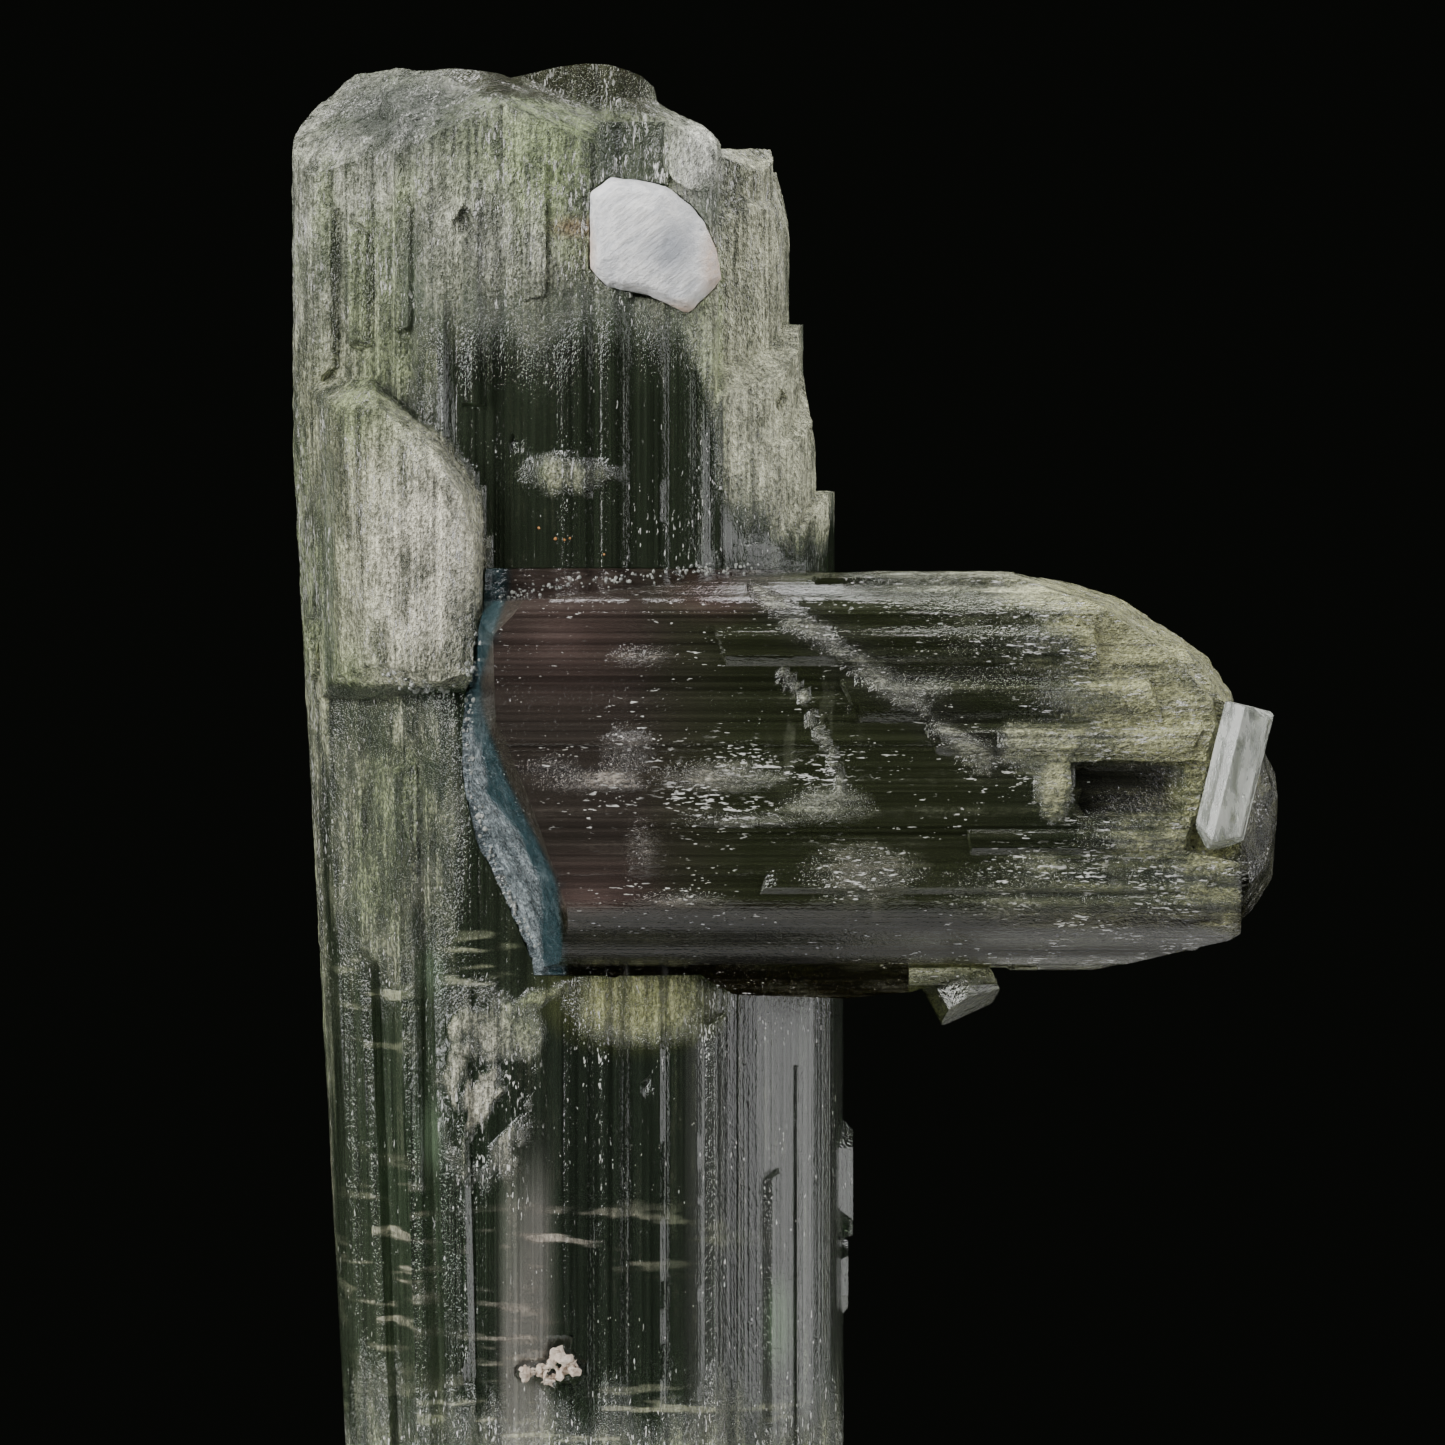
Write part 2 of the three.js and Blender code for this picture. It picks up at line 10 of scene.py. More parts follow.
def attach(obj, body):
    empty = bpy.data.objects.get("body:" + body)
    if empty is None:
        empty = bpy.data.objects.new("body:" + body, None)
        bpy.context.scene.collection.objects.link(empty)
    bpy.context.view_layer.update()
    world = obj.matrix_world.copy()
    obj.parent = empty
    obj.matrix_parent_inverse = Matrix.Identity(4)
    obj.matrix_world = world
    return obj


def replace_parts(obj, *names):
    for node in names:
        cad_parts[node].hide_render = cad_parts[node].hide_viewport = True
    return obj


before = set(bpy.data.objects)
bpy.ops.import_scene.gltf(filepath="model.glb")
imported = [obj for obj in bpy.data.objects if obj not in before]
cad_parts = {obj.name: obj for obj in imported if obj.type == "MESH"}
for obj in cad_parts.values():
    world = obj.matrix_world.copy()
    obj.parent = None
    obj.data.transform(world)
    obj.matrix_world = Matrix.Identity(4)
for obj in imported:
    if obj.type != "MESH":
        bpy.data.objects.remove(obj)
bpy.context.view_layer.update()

MM = 0.001
X_AXIS = 0
Y_AXIS = 1
Z_AXIS = 2

# Camera: the place in mm that it looks at, its distance, degrees downward and width of the view there
TARGET = (4.9, -8.0, 35.1)
DISTANCE = 480.0
ELEVATION = 2.5
FRAME_WIDTH = 57.8
SENSOR = 36.0
NEAREST = 10.0

# Optical values of the clear crystals
TOURMALINE_IOR = 1.63
QUARTZ_IOR = 1.55

# Section (Y, Z) in mm, and its ends, that parts the cross crystal from the upright one
CROSS_PARTING = [
    (-14.0, 41.2), (-14.0, 23.5), (-7.8, 23.5), (-7.7, 24.95), (-3.9, 24.95), (-0.6, 28.3),
    (-0.2, 36.6), (-3.0, 40.95), (-9.0, 41.35),
]
CROSS_PARTING_START = -6.3
CROSS_PARTING_END = 31.0
CROSS_OUTLINE_DEPTHS = (-20.0, 5.0)

# Front outline (X, Z) in mm of the part of the cluster that is the cross crystal
CROSS_OUTLINE = [
    (-4.5, 42.0), (-4.7, 39.4), (-5.0, 38.2), (-5.1, 36.9), (-5.4, 36.2), (-5.5, 34.6),
    (-5.5, 32.9), (-5.3, 31.8), (-4.9, 30.2), (-4.15, 28.8), (-3.7, 27.8), (-3.1, 26.4),
    (-2.7, 25.4), (-2.5, 23.0), (32.0, 23.0), (32.0, 42.0),
]

# Gap round the pieces that are cut off, and the box (X, Y, Z) of the small green prism, in mm
PARTING_GAP = 0.03
PENDANT_BOX = ((12.35, 17.5), (-14.0, -3.0), (22.0, 25.32))

# Inner edge (Z, X) in mm of the blue end strip of the cross crystal
STRIP_EDGE = [
    (25.2, -1.36), (28.9, -1.6), (30.3, -2.3), (32.9, -3.6), (35.7, -4.64), (36.9, -4.7),
    (38.2, -4.3), (40.1, -3.7),
]
STRIP_EDGE_FADE = (-0.1, 0.15)

# Right edge (X, Z) in mm of the side crystal's rounded front
LOBE_EDGE = [
    (-10.8, 48.4), (-9.7, 48.7), (-8.2, 48.0), (-7.1, 47.0), (-6.0, 46.4), (-5.4, 45.5),
    (-4.9, 44.8), (-4.7, 43.9), (-4.55, 42.5),
]
LOBE_BOTTOM = 36.2
LOBE_TOP_EDGE = (-0.2, 0.1)
LOBE_RIGHT_EDGE = (-4.6, -4.4)
LOBE_BOTTOM_EDGE = 0.5
LOBE_DEPTH = -4.5

# Lower edge (X, Z) in mm of the dark wall behind the front slope
WALL_FOOT = [(-6.4, 61.0), (-4.5, 60.1), (-2.0, 59.9), (0.3, 59.6), (2.6, 59.2)]
WALL_FOOT_EDGE = (-0.1, 0.2)
WALL_LEFT_EDGE = (-7.6, -5.6)
WALL_RIGHT_EDGE = (1.8, 3.2)

# Lines (X, Z) in mm that loose grit follows
TOP_CONTACT = [(-4.0, 40.1), (-1.5, 40.6), (1.5, 40.9), (4.0, 41.2), (6.2, 41.2)]
STRIP_RIDGE = [(-5.2, 36.2), (-5.3, 34.0), (-5.0, 31.8), (-4.4, 29.8), (-3.5, 27.8), (-2.6, 25.9)]
LOBE_FOOT = [(-8.6, 37.0), (-7.4, 36.5), (-6.0, 36.4), (-5.2, 36.9), (-4.9, 38.6)]
RUSTY_PATCH = [(-3.4, 43.4), (-2.6, 42.8), (3.2, 41.0)]

# Hazy columns of the upright crystal: left, right, low, high in mm, and how hazy they are
COLUMNS = [
    (-4.1, -2.0, 4.0, 17.5, 0.8), (-10.6, -6.1, 5.0, 37.0, 0.4), (3.4, 5.3, -1.0, 26.0, 0.5),
    (5.3, 6.2, -1.0, 26.0, 0.3), (6.2, 9.9, -1.0, 26.0, 0.5), (-3.6, 3.8, 46.5, 51.5, 0.3),
]

# Patches of thin level fractures on the upright crystal: centre and radii in mm
WISP_PATCHES = [
    ((-0.5, 14.3), (5.0, 1.3)), ((-8.6, 13.0), (1.8, 4.0)), ((-3.6, 9.4), (1.8, 3.0)),
    ((-1.0, 7.0), (9.0, 1.5)), ((-9.0, 24.0), (1.6, 2.6)), ((-4.8, 25.2), (1.6, 1.4)),
]

# Pale smudges on the front of the cross crystal: centre and radii in mm, and how pale they are
CROSS_SMUDGES = [
    ((5.0, 33.1), (2.0, 0.45), 0.75), ((9.2, 32.0), (1.4, 0.6), 0.65), ((1.2, 34.0), (0.9, 0.9), 0.5),
    ((10.6, 29.2), (1.9, 1.1), 0.5), ((1.8, 37.9), (1.0, 0.35), 0.5), ((1.8, 30.2), (0.6, 1.2), 0.3),
    ((17.6, 29.6), (1.2, 0.6), 0.5), ((12.8, 36.6), (1.2, 0.4), 0.5), ((18.4, 38.4), (2.2, 0.4), 0.6),
    ((6.0, 31.4), (2.2, 0.25), 0.6), ((3.4, 28.2), (1.6, 0.3), 0.5),
]

# Curved crack (X, Z) in mm across the front of the cross crystal
CROSS_CRACK = [(7.3, 37.2), (8.1, 36.4), (8.5, 35.2), (9.3, 34.0), (9.6, 32.2)]

# Zones of the upright crystal in mm: where an effect starts and is full, negated if it grows left or down
TOP_CRUST = (50.0, 54.5)
LEFT_CRUST_SIDE = (6.0, 8.0)
LEFT_CRUST_HEIGHT = (46.0, 49.0)
FLANK_SIDE = (4.6, 5.6)
FLANK_HEIGHT = (43.0, 46.0)
FLANK_DEPTH = -1.0
LOBE_LEFT = (-11.3, -10.3)
LEFT_EDGE = (10.6, 11.6)
BASE_CRUST = (-8.6, -5.6)
BACK_CRUST = (2.0, 6.0)
CLOUDY_HEIGHT = (47.0, 50.5)
BACK_HAZE = (0.0, 5.0)
TOP_HAZE = (49.0, 52.0)
FLANK_HAZE_SIDE = (4.4, 5.4)
FLANK_HAZE_HEIGHT = (42.0, 44.0)
BASE_DUST = (-10.0, -5.0)
# Top zone of specks, raised there as painted glints on the frost
TOP_DUST_AND_GLINTS = (50.0, 53.0)
SHEEN_SIDE = (3.0, 3.6)
SHEEN_HEIGHT = (-25.0, -24.0)
GREY_CRUST = (48.0, 54.0)
FLANK_PALE_SIDE = (4.7, 5.1)
FLANK_PALE_HEIGHT = (42.0, 43.0)

# Places on the front of the upright crystal: spans, or (X, Z) centre and radii, or (X, Z) ends, in mm
ROUGH_BLOCK_X = (2.7, 4.7)
ROUGH_BLOCK_Z = (56.2, 59.2)
GLOSSY_BLOCK_X = (-0.2, 2.6)
GLOSSY_BLOCK_Z = (56.4, 59.2)
BLOCK_DEPTH = -5.0
# Field of painted shade on the lower front centre
PAINTED_SHADE_FIELD_X = (-6.0, 3.3)
PAINTED_SHADE_FIELD_Z = (5.0, 23.0)
DARK_POCKET = ((4.3, 55.8), (0.6, 1.0))
JAGGED_VEIL = ((-4.7, 20.4), (1.5, 3.0))
RIGHT_CRUST = ((4.4, 52.5), (8.0, 44.0))
LEFT_SEAM = ((-6.0, 22.8), (-1.2, 24.5))
GREY_COLUMN = (-4.1, -2.0, 4.0, 17.5)

# Frosted spots of the upright crystal: centre, radii, how uneven each radius is, softness and amount
UPRIGHT_FROST = [
    ((-8.4, 31.0), (2.6, 6.4), (0.0, 0.0), 0.4, 0.38),
    ((-3.9, 22.6), (1.3, 1.1), (0.0, 0.6), 0.5, 0.6),
    ((1.6, 24.0), (3.0, 1.6), (1.2, 0.0), 0.4, 0.5),
    ((-1.2, 45.0), (1.6, 0.6), (0.0, 0.4), 0.5, 0.6),
]

# Specked spots of each crystal: centre and radii in mm, and how many specks, which are partly dust and
# partly painted glints
UPRIGHT_DUST = [
    ((4.6, 43.4), (3.0, 2.6), 0.5), ((-4.4, 19.5), (2.4, 4.6), 0.7), ((0.0, 19.5), (0.3, 3.0), 0.8),
    ((3.0, 23.2), (4.0, 1.8), 0.75), ((-1.2, 45.2), (1.8, 0.7), 0.8),
]
CROSS_DUST = [
    ((4.6, 33.0), (5.6, 1.9), 1.0), ((9.0, 32.5), (2.0, 4.0), 0.9), ((19.0, 28.2), (6.0, 1.8), 0.8),
    ((1.8, 30.4), (1.2, 2.0), 0.8),
]

# Least frost and least specks of a clear face
CLEAR_FROST = 0.04
SPARSE_DUST = 0.12

# Zones of the cross crystal in mm: where an effect starts and is full, negated if it grows left or down
TIP_CRUST = (18.5, 22.5)
TIP_CRUST_LEVEL = 34.0
TIP_CRUST_LEAN = 0.7
UPPER_CRUST_SIDE = (8.0, 15.0)
UPPER_CRUST_HEIGHT = (34.0, 37.0)
TOP_EDGE_HEIGHT = (39.6, 40.6)
TOP_EDGE_SIDE = (9.0, 12.0)
LOWER_EDGE = (-28.2, -27.6)
LOWER_FACET = (27.4, 28.2)
CAP_EDGE = (25.2, 25.6)
LEFT_END_HAZE = (-6.0, -1.0)
CROSS_BACK_HAZE = (-4.0, -1.0)
LEFT_END_DUST = (-2.0, 1.0)
TIP_DUST = (12.0, 18.0)
PURPLE_END = (1.5, 6.0)
GREEN_TIP = (14.0, 21.0)
ROSE_FROST_END = (2.0, 7.0)
YELLOW_FROST = (13.0, 19.0)
STRIP_RIDGE_INSET = 0.85

# Places on the cross crystal: spans, or (X, Z) centre and radii, or (X, Z) ends, in mm
WINDOW_X = (18.9, 23.3)
# Span of the painted shade in the window
WINDOW_SHADE_X = (18.9, 22.6)
WINDOW_Y = (-14.0, -10.8)
WINDOW_Z = (31.6, 33.6)
WINDOW_LEDGE_X = (16.0, 24.5)
WINDOW_LEDGE_Z = (33.7, 35.2)
WINDOW_RIM = ((18.1, 32.9), (0.6, 1.4))
# Spot of the painted glow in the window
WINDOW_GLOW = ((22.8, 32.4), (0.8, 0.5))
LOWER_CRUST = ((19.5, 28.4), (5.5, 1.6))
SCRATCHED_PATCH = ((3.0, 33.2), (4.5, 1.8))
CRACK_VEIL = ((8.6, 34.0), (1.6, 3.0))
ROSE_CLOUD = ((10.4, 29.0), (2.4, 1.4))
ROSE_CLOUD_VEIL = ((10.4, 29.0), (2.2, 1.5))
TOP_LEFT_ROSE = ((-1.6, 38.6), (2.6, 2.0), 0.8)
LOW_LEFT_ROSE = ((-0.4, 27.4), (2.2, 1.8), 0.8)
LOW_LEFT_CLOUD = ((-0.4, 27.4), (1.8, 1.8), 0.8)
DIAGONAL_START = (6.2, 40.6)
DIAGONAL_END = (15.2, 34.0)
DIAGONAL_TAIL = (15.6, 34.0)

# Small green prism and white crystal: start and full level, or (X, Z) centre and radii, in mm
PENDANT_CRUST = (24.6, 25.2)
PENDANT_DUST = (24.0, 25.2)
WHITE_HOLLOW = ((2.9, 54.0), (0.8, 0.9))
WHITE_SEAMS = [((4.6, 53.4), (0.5, 1.6)), ((3.2, 51.4), (1.4, 0.5)), ((-0.5, 53.8), (0.3, 1.2))]

# Fineness of the remeshed pieces: octree depth and scale
UPRIGHT_FINENESS = (8, 0.86)
CROSS_FINENESS = (7, 0.9)
PENDANT_FINENESS = (6, 0.9)
SMALL_FINENESS = (7, 0.9)

# Angle in degrees from which an edge stays sharp, and distance in metres at which points merge
SHARP_ANGLE = 32.0
MERGE_DISTANCE = 1e-6

# Height of the ribs and of the roughness in mm
UPRIGHT_RELIEF = (0.015, 0.08)
CROSS_RELIEF = (0.015, 0.07)
PENDANT_RELIEF = (0.01, 0.02)

# Relief patterns: cycles per mm lengthwise and across, share of it for the steps, and step levels
RIB_STRETCH = (0.06, 1.1)
LUMP_STRETCH = (0.9, 2.4)
STEP_STRETCH = 0.6
STEP_LEVELS = 3.0
LEAST_ROUGHNESS = 0.04

# Small pieces: height of the roughness and growth in mm, its cycles per mm, and the sharp angle
WHITE_RELIEF = (0.03, 0.22)
TIP_RELIEF = (0.01, 0.04)
FELDSPAR_RELIEF = (0.25, -0.11)
SMALL_STRETCH = (2.2, 2.2, 2.2)
SMALL_SHARP_ANGLE = 35.0

# Noise patterns along a tourmaline: lengthwise stretch, scale per mm, detail, roughness and seed
THREADS = (0.006, 6.0, 1.0, 0.75, 1.0)
COMBS = (0.003, 1.5, 3.0, 0.8, 2.0)
STREAKS = (0.11, 2.8, 2.0, 0.8, 4.0)
FLAKES = (0.6, 7.5, 2.0, 0.75, 9.0)
CLOUDS = (0.5, 0.9, 2.0, 0.6, 41.0)
SPARKS = (0.22, 9.0, 2.0, 0.75, 17.0)
CLUSTERS = (0.6, 0.6, 2.0, 0.65, 23.0)

# Other noise patterns: scale per mm, detail, roughness and seed
VEILS = (1.0, 2.0, 0.6, 37.0)
VEIL_STRETCH = (1.5, 0.25)
MILK_CLOUDS = (0.8, 6.0, 0.7, 3.0)
MILK_LINES = (4.5, 4.0, 0.7, 8.0)
MILK_LINE_ANGLE = 38.0
MILK_LINE_STRETCH = (0.12, 1, 1)
GLASS_FLAWS = (1.8, 5.0, 0.6, 6.0)
GLASS_FLAW_STRETCH = (1.2, 1.2, 0.35)
STONE_MOTTLE = (1.6, 4.0, 0.6, 2.0)

# How a pattern or mask is mapped: from its low and high value, to a low and high value or to 0 and 1
# Groove line tone: partly grain, partly painted sheen and shade
LINE_GRAIN_AND_SHEEN_TONE = (0.75, 1.25, 0.55, 1.45)
# Flake tone: random mottle that also paints glints and pit shade
FLAKE_TONE_AND_GLINTS = (0.38, 0.66, 0.62, 1.65)
CLOUD_TONE = (0.35, 0.65, 0.72, 1.28)
STREAK_CHANGE = (0.3, 0.7, -0.34, 0.34)
FLAKE_CHANGE = (0.35, 0.65, -0.18, 0.18)
CLOUD_CHANGE = (0.35, 0.65, -0.22, 0.22)
CHANGE_REACH = (0.0, 0.35, 0.12, 0.5)
COMB_COVER = (0.35, 0.65, -0.07, 0.12)
FROST_EDGE = (0.10, 0.86)
VEIL_EDGE = (0.54, 0.62)
SPECK_EDGE = (0.69, 0.72)
CLUSTER_EDGE = (0.44, 0.56)
COVERED_ROUGHNESS = (0.0, 1.0, 0.10, 0.36)
SPARK_GLOSS = (0.54, 0.62, 1.0, 0.3)
COVERED_SOLIDNESS = (0.0, 1.0, 0.07, 0.75)
CRUST_FROST = (0.0, 0.6)
MILK_TONE = (0.43, 0.57)
MILK_ROUGHNESS = (0.3, 0.7, 0.25, 0.6)
MILK_CLEARNESS = (0.3, 0.7, 0.15, 0.02)
GLASS_HAZE = (0.42, 0.62)
GLASS_ROUGHNESS = (0.0, 1.0, 0.08, 0.45)
GLASS_CLEARNESS = (0.0, 1.0, 0.85, 0.3)
STONE_TONE = (0.35, 0.65)

# How strongly dust and painted glints make specks, haze roughens and haze closes the surface
DUST_AND_GLINT_STRENGTH = 0.13
HAZE_ROUGHNESS = 0.27
HAZE_SOLIDNESS = 0.55

# Depth in mm of the fine relief that the materials draw, and two plain roughnesses
CRUST_DEPTH = 0.4
GROOVE_DEPTH = 0.025
MILK_DEPTH = 0.25
GLASS_DEPTH = 0.05
STONE_DEPTH = 0.08
STONE_ROUGHNESS = 0.75
FLOOR_ROUGHNESS = 0.9

# Loose grit: name, line, count, spread in mm, smallest and largest radius in mm, and its random seeds
WHITE_GRIT = [
    ("top_contact_grit", TOP_CONTACT, 150, 0.4, (0.035, 0.09)),
    ("strip_ridge_grit", STRIP_RIDGE, 130, 0.35, (0.04, 0.11)),
    ("side_crystal_chips", LOBE_FOOT, 60, 0.5, (0.05, 0.14)),
]
RUSTY_GRIT = ("rusty_grit", RUSTY_PATCH, 5, 0.3, (0.04, 0.08))
GRIT_RAY_START = -30
GOLDEN_STEP = 0.618
LINE_SPREAD = 2.6
LUMP_FINENESS = 1.3
LUMP_UNEVENNESS = 0.6
PLACE_SEED = (1.37, 4.1)
X_SEED = (3.1, 0.5, 2.0)
Z_SEED = (2.7, 9.5, 6.0)
SIZE_SEED = (5.3, 1.1, 3.3)
SHAPE_SEED = 1.9

# Floor under the base, in mm
FLOOR_RADIUS = 38
FLOOR_THICKNESS = 1
FLOOR_LEVEL = -0.6
FLOOR_SIDES = 96

# Lights: name, place and size in mm, and power
LIGHTS = [
    ("left", (-230, -150, 120), (160, 220), 1.1),
    ("right", (240, -60, 90), (330, 300), 0.8),
    ("top", (0, 40, 290), (260, 160), 1.1),
    ("front", (-150, -330, 200), (120, 80), 0.5),
]

# Linear colours
DARK_GREEN = (0.13, 0.165, 0.105)
DEEP_GREEN = (0.10, 0.145, 0.085)
# Painted sheen on the right flank of the upright crystal
PAINTED_SHEEN_GREY = (0.13, 0.14, 0.12)
YELLOW_GREEN = (0.42, 0.46, 0.16)
MOSS_GREEN = (0.22, 0.25, 0.10)
PURPLE_BROWN = (0.115, 0.095, 0.078)
ROSE = (0.26, 0.17, 0.15)
OLIVE = (0.145, 0.17, 0.085)
TEAL = (0.035, 0.10, 0.12)
# Painted glints in the upright crystal
PAINTED_GLINT_GREEN = (0.30, 0.42, 0.26)
# Painted shade on the lower facet of the cross crystal
PAINTED_SHADE_OLIVE = (0.045, 0.038, 0.012)
# Painted shade on the lower front centre of the upright crystal
PAINTED_SHADE_GREEN = (0.10, 0.13, 0.09)
WALL_GREEN = (0.13, 0.14, 0.07)
VEIL_GREY = (0.22, 0.215, 0.19)
# Painted shade in the recessed window of the cross crystal
PAINTED_SHADE_BLACK = (0.11, 0.11, 0.09)
CAP_GREY = (0.16, 0.16, 0.14)
PALE_GREEN = (0.52, 0.53, 0.34)
LEAF_GREEN = (0.34, 0.42, 0.19)
PALE_GREY = (0.52, 0.53, 0.41)
SLOPE_GREY = (0.13, 0.14, 0.115)
PALE_BEIGE = (0.72, 0.69, 0.54)
PALE_YELLOW = (0.41, 0.41, 0.21)
PALE_ROSE = (0.40, 0.35, 0.29)
FLANK_PALE = (0.66, 0.66, 0.47)
PALE_WHITE = (0.88, 0.88, 0.78)
BLUE_WHITE = (0.33, 0.38, 0.40)
RUST_BROWN = (0.42, 0.23, 0.11)
# White of the specks, partly dust and partly painted glints
SPECK_AND_GLINT_WHITE = (0.95, 0.94, 0.89)
MILK_SHADE = (0.76, 0.77, 0.79)
MILK_LIGHT = (1.0, 0.99, 0.97)
MILK_HOLLOW = (0.36, 0.38, 0.42)
STAIN_BROWN = (0.62, 0.36, 0.18)
CLEAR_WHITE = (0.75, 0.78, 0.73)
CLOUD_WHITE = (0.62, 0.63, 0.58)
FELDSPAR_DARK = (0.55, 0.42, 0.33)
FELDSPAR_LIGHT = (0.72, 0.64, 0.54)
RUST_DARK = (0.62, 0.24, 0.07)
RUST_LIGHT = (0.75, 0.40, 0.16)
FLOOR_PALE = (0.62, 0.62, 0.60)
SURROUND = (0.0034, 0.0038, 0.003)

# Absorption colour and density per metre of each clear material
UPRIGHT_ABSORPTION = ((0.36, 0.55, 0.33), 165.0)
CROSS_ABSORPTION = ((0.44, 0.48, 0.30), 150.0)
PENDANT_ABSORPTION = ((0.6, 0.7, 0.4), 80.0)
MILK_ABSORPTION = ((0.9, 0.9, 0.92), 20.0)
PRISM_ABSORPTION = ((0.8, 0.86, 0.75), 60.0)
GRIT_ABSORPTION = ((0.9, 0.9, 0.88), 20.0)

# Coloured spots: centre and radii in mm, softness, amount and tint, the later over the earlier
UPRIGHT_TINTS = [
    ((-6.8, 36.0), (2.0, 8.0), 0.5, 1.0, DEEP_GREEN),
    ((-6.5, 17.0), (2.6, 6.0), 0.5, 1.0, DEEP_GREEN),
    ((1.4, 24.2), (3.0, 1.8), 0.5, 1.0, YELLOW_GREEN),
    # Painted glints: the three bright green spots below
    ((-6.8, 25.0), (0.5, 0.9), 0.5, 1.0, PAINTED_GLINT_GREEN),
    ((-6.8, 18.4), (0.5, 1.2), 0.5, 1.0, PAINTED_GLINT_GREEN),
    ((7.2, 10.8), (0.5, 1.6), 0.5, 1.0, PAINTED_GLINT_GREEN),
]
UPRIGHT_FROST_TINTS = [
    ((-6.8, 41.6), (2.6, 5.4), 0.5, 1.0, PALE_BEIGE),
    ((3.7, 57.6), (1.2, 1.6), 0.5, 1.0, PALE_WHITE),
    ((-8.0, 59.5), (3.4, 1.9), 0.5, 1.0, SLOPE_GREY),
    ((0.0, 61.4), (4.4, 0.8), 0.5, 1.0, PALE_YELLOW),
    ((-3.0, 13.0), (6.0, 6.0), 0.5, 1.0, PALE_ROSE),
    ((-5.0, 20.5), (1.8, 3.2), 0.5, 1.0, PALE_BEIGE),
    ((-1.6, 58.0), (4.0, 2.2), 0.5, 0.8, LEAF_GREEN),
    ((1.4, 24.0), (3.4, 1.8), 0.5, 1.0, PALE_YELLOW),
    ((-0.9, 54.9), (0.9, 0.35), 0.5, 0.7, RUST_BROWN),
]
CROSS_TINTS = [
    ((5.0, 40.4), (2.0, 0.9), 0.5, 1.0, ROSE),
    ((5.0, 26.5), (6.0, 1.2), 0.5, 1.0, ROSE),
    (*LOW_LEFT_ROSE, 0.8, ROSE),
    (*TOP_LEFT_ROSE, 0.6, ROSE),
]


# Softness in mm of column sides, column ends and depth limits, and the least width of a band
COLUMN_SIDE_FADE = 0.25
COLUMN_END_FADE = 2.0
DEPTH_FADE = 2.0
LEAST_WIDTH = 0.05

# Uneven edges: stretch in cycles per mm and seed, and the shift in X, Y and Z that one seed gives
UPRIGHT_UNEVEN = ((0.5, 0.5, 0.12), 3)
CROSS_UNEVEN = ((0.12, 0.5, 0.5), 5)
JAGGED_GRAIN = ((1.2, 1.2, 0.6), 13)
LEAF_GRAIN = ((0.3, 0.3, 0.12), 11)
SEED_SHIFT = (7.3, 3.1, 5.7)


# Masks: soft regions that are 0 outside and 1 inside, for values or for points in mm
def fade(value, low, high):
    return np.clip((value - low) / (high - low), 0.0, 1.0)


def spot(points, centre, radii, soft=0.5):
    x = (points[:, 0] - centre[0]) / radii[0]
    z = (points[:, 2] - centre[1]) / radii[1]
    return 1.0 - fade(np.sqrt(x * x + z * z), 1.0 - soft, 1.0 + soft)


def band(points, start, end, width, soft=0.5):
    a = np.array(start)
    along = np.array(end) - a
    p = points[:, [0, 2]] - a
    t = np.clip(p @ along / (along @ along), 0.0, 1.0)
    away = np.linalg.norm(p - t[:, None] * along, axis=1)
    return 1.0 - fade(away / np.maximum(width, LEAST_WIDTH), 1.0 - soft, 1.0 + soft)


def front(points, depth):
    return 1.0 - fade(points[:, 1], depth, depth + DEPTH_FADE)


def field(points, spans, soft=0.3):
    inside = np.ones(len(points))
    for axis, span in enumerate(spans):
        if span:
            value = points[:, axis]
            inside *= fade(value, span[0] - soft, span[0] + soft)
            inside *= 1.0 - fade(value, span[1] - soft, span[1] + soft)
    return inside


def column(points, left, right, low, high):
    sides = field(points, [(left, right), None, None], COLUMN_SIDE_FADE)
    return sides * field(points, [None, None, (low, high)], COLUMN_END_FADE)


def lobe(points):
    top = np.interp(points[:, 0], [x for x, _ in LOBE_EDGE], [z for _, z in LOBE_EDGE])
    inside = 1.0 - fade(points[:, 2] - top, *LOBE_TOP_EDGE)
    inside *= fade(points[:, 2], LOBE_BOTTOM, LOBE_BOTTOM + LOBE_BOTTOM_EDGE)
    return inside * (1.0 - fade(points[:, 0], *LOBE_RIGHT_EDGE)) * front(points, LOBE_DEPTH)


def wall(points):
    foot = np.interp(points[:, 0], [x for x, _ in WALL_FOOT], [z for _, z in WALL_FOOT])
    inside = fade(points[:, 2] - foot, *WALL_FOOT_EDGE) * fade(points[:, 0], *WALL_LEFT_EDGE)
    return inside * (1.0 - fade(points[:, 0], *WALL_RIGHT_EDGE))


def grain(points, stretch, seed, octaves=3):
    shift = Vector([seed * part for part in SEED_SHIFT])
    scaled = points * np.array(stretch)
    return np.array([noise.fractal(Vector(p) + shift, 1.0, 2.0, octaves) for p in scaled])


# Copies of the solids, cut and refined
def linked(name, mesh):
    piece = bpy.data.objects.new(name, mesh)
    bpy.context.scene.collection.objects.link(piece)
    return piece


def node_copy(name, node):
    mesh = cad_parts[node].data.copy()
    mesh.materials.clear()
    merged = bmesh.new()
    merged.from_mesh(mesh)
    bmesh.ops.remove_doubles(merged, verts=merged.verts, dist=MERGE_DISTANCE)
    merged.to_mesh(mesh)
    merged.free()
    return linked(name, mesh)


def baked(piece):
    graph = bpy.context.evaluated_depsgraph_get()
    mesh = bpy.data.meshes.new_from_object(piece.evaluated_get(graph))
    piece.modifiers.clear()
    piece.data = mesh
    return piece


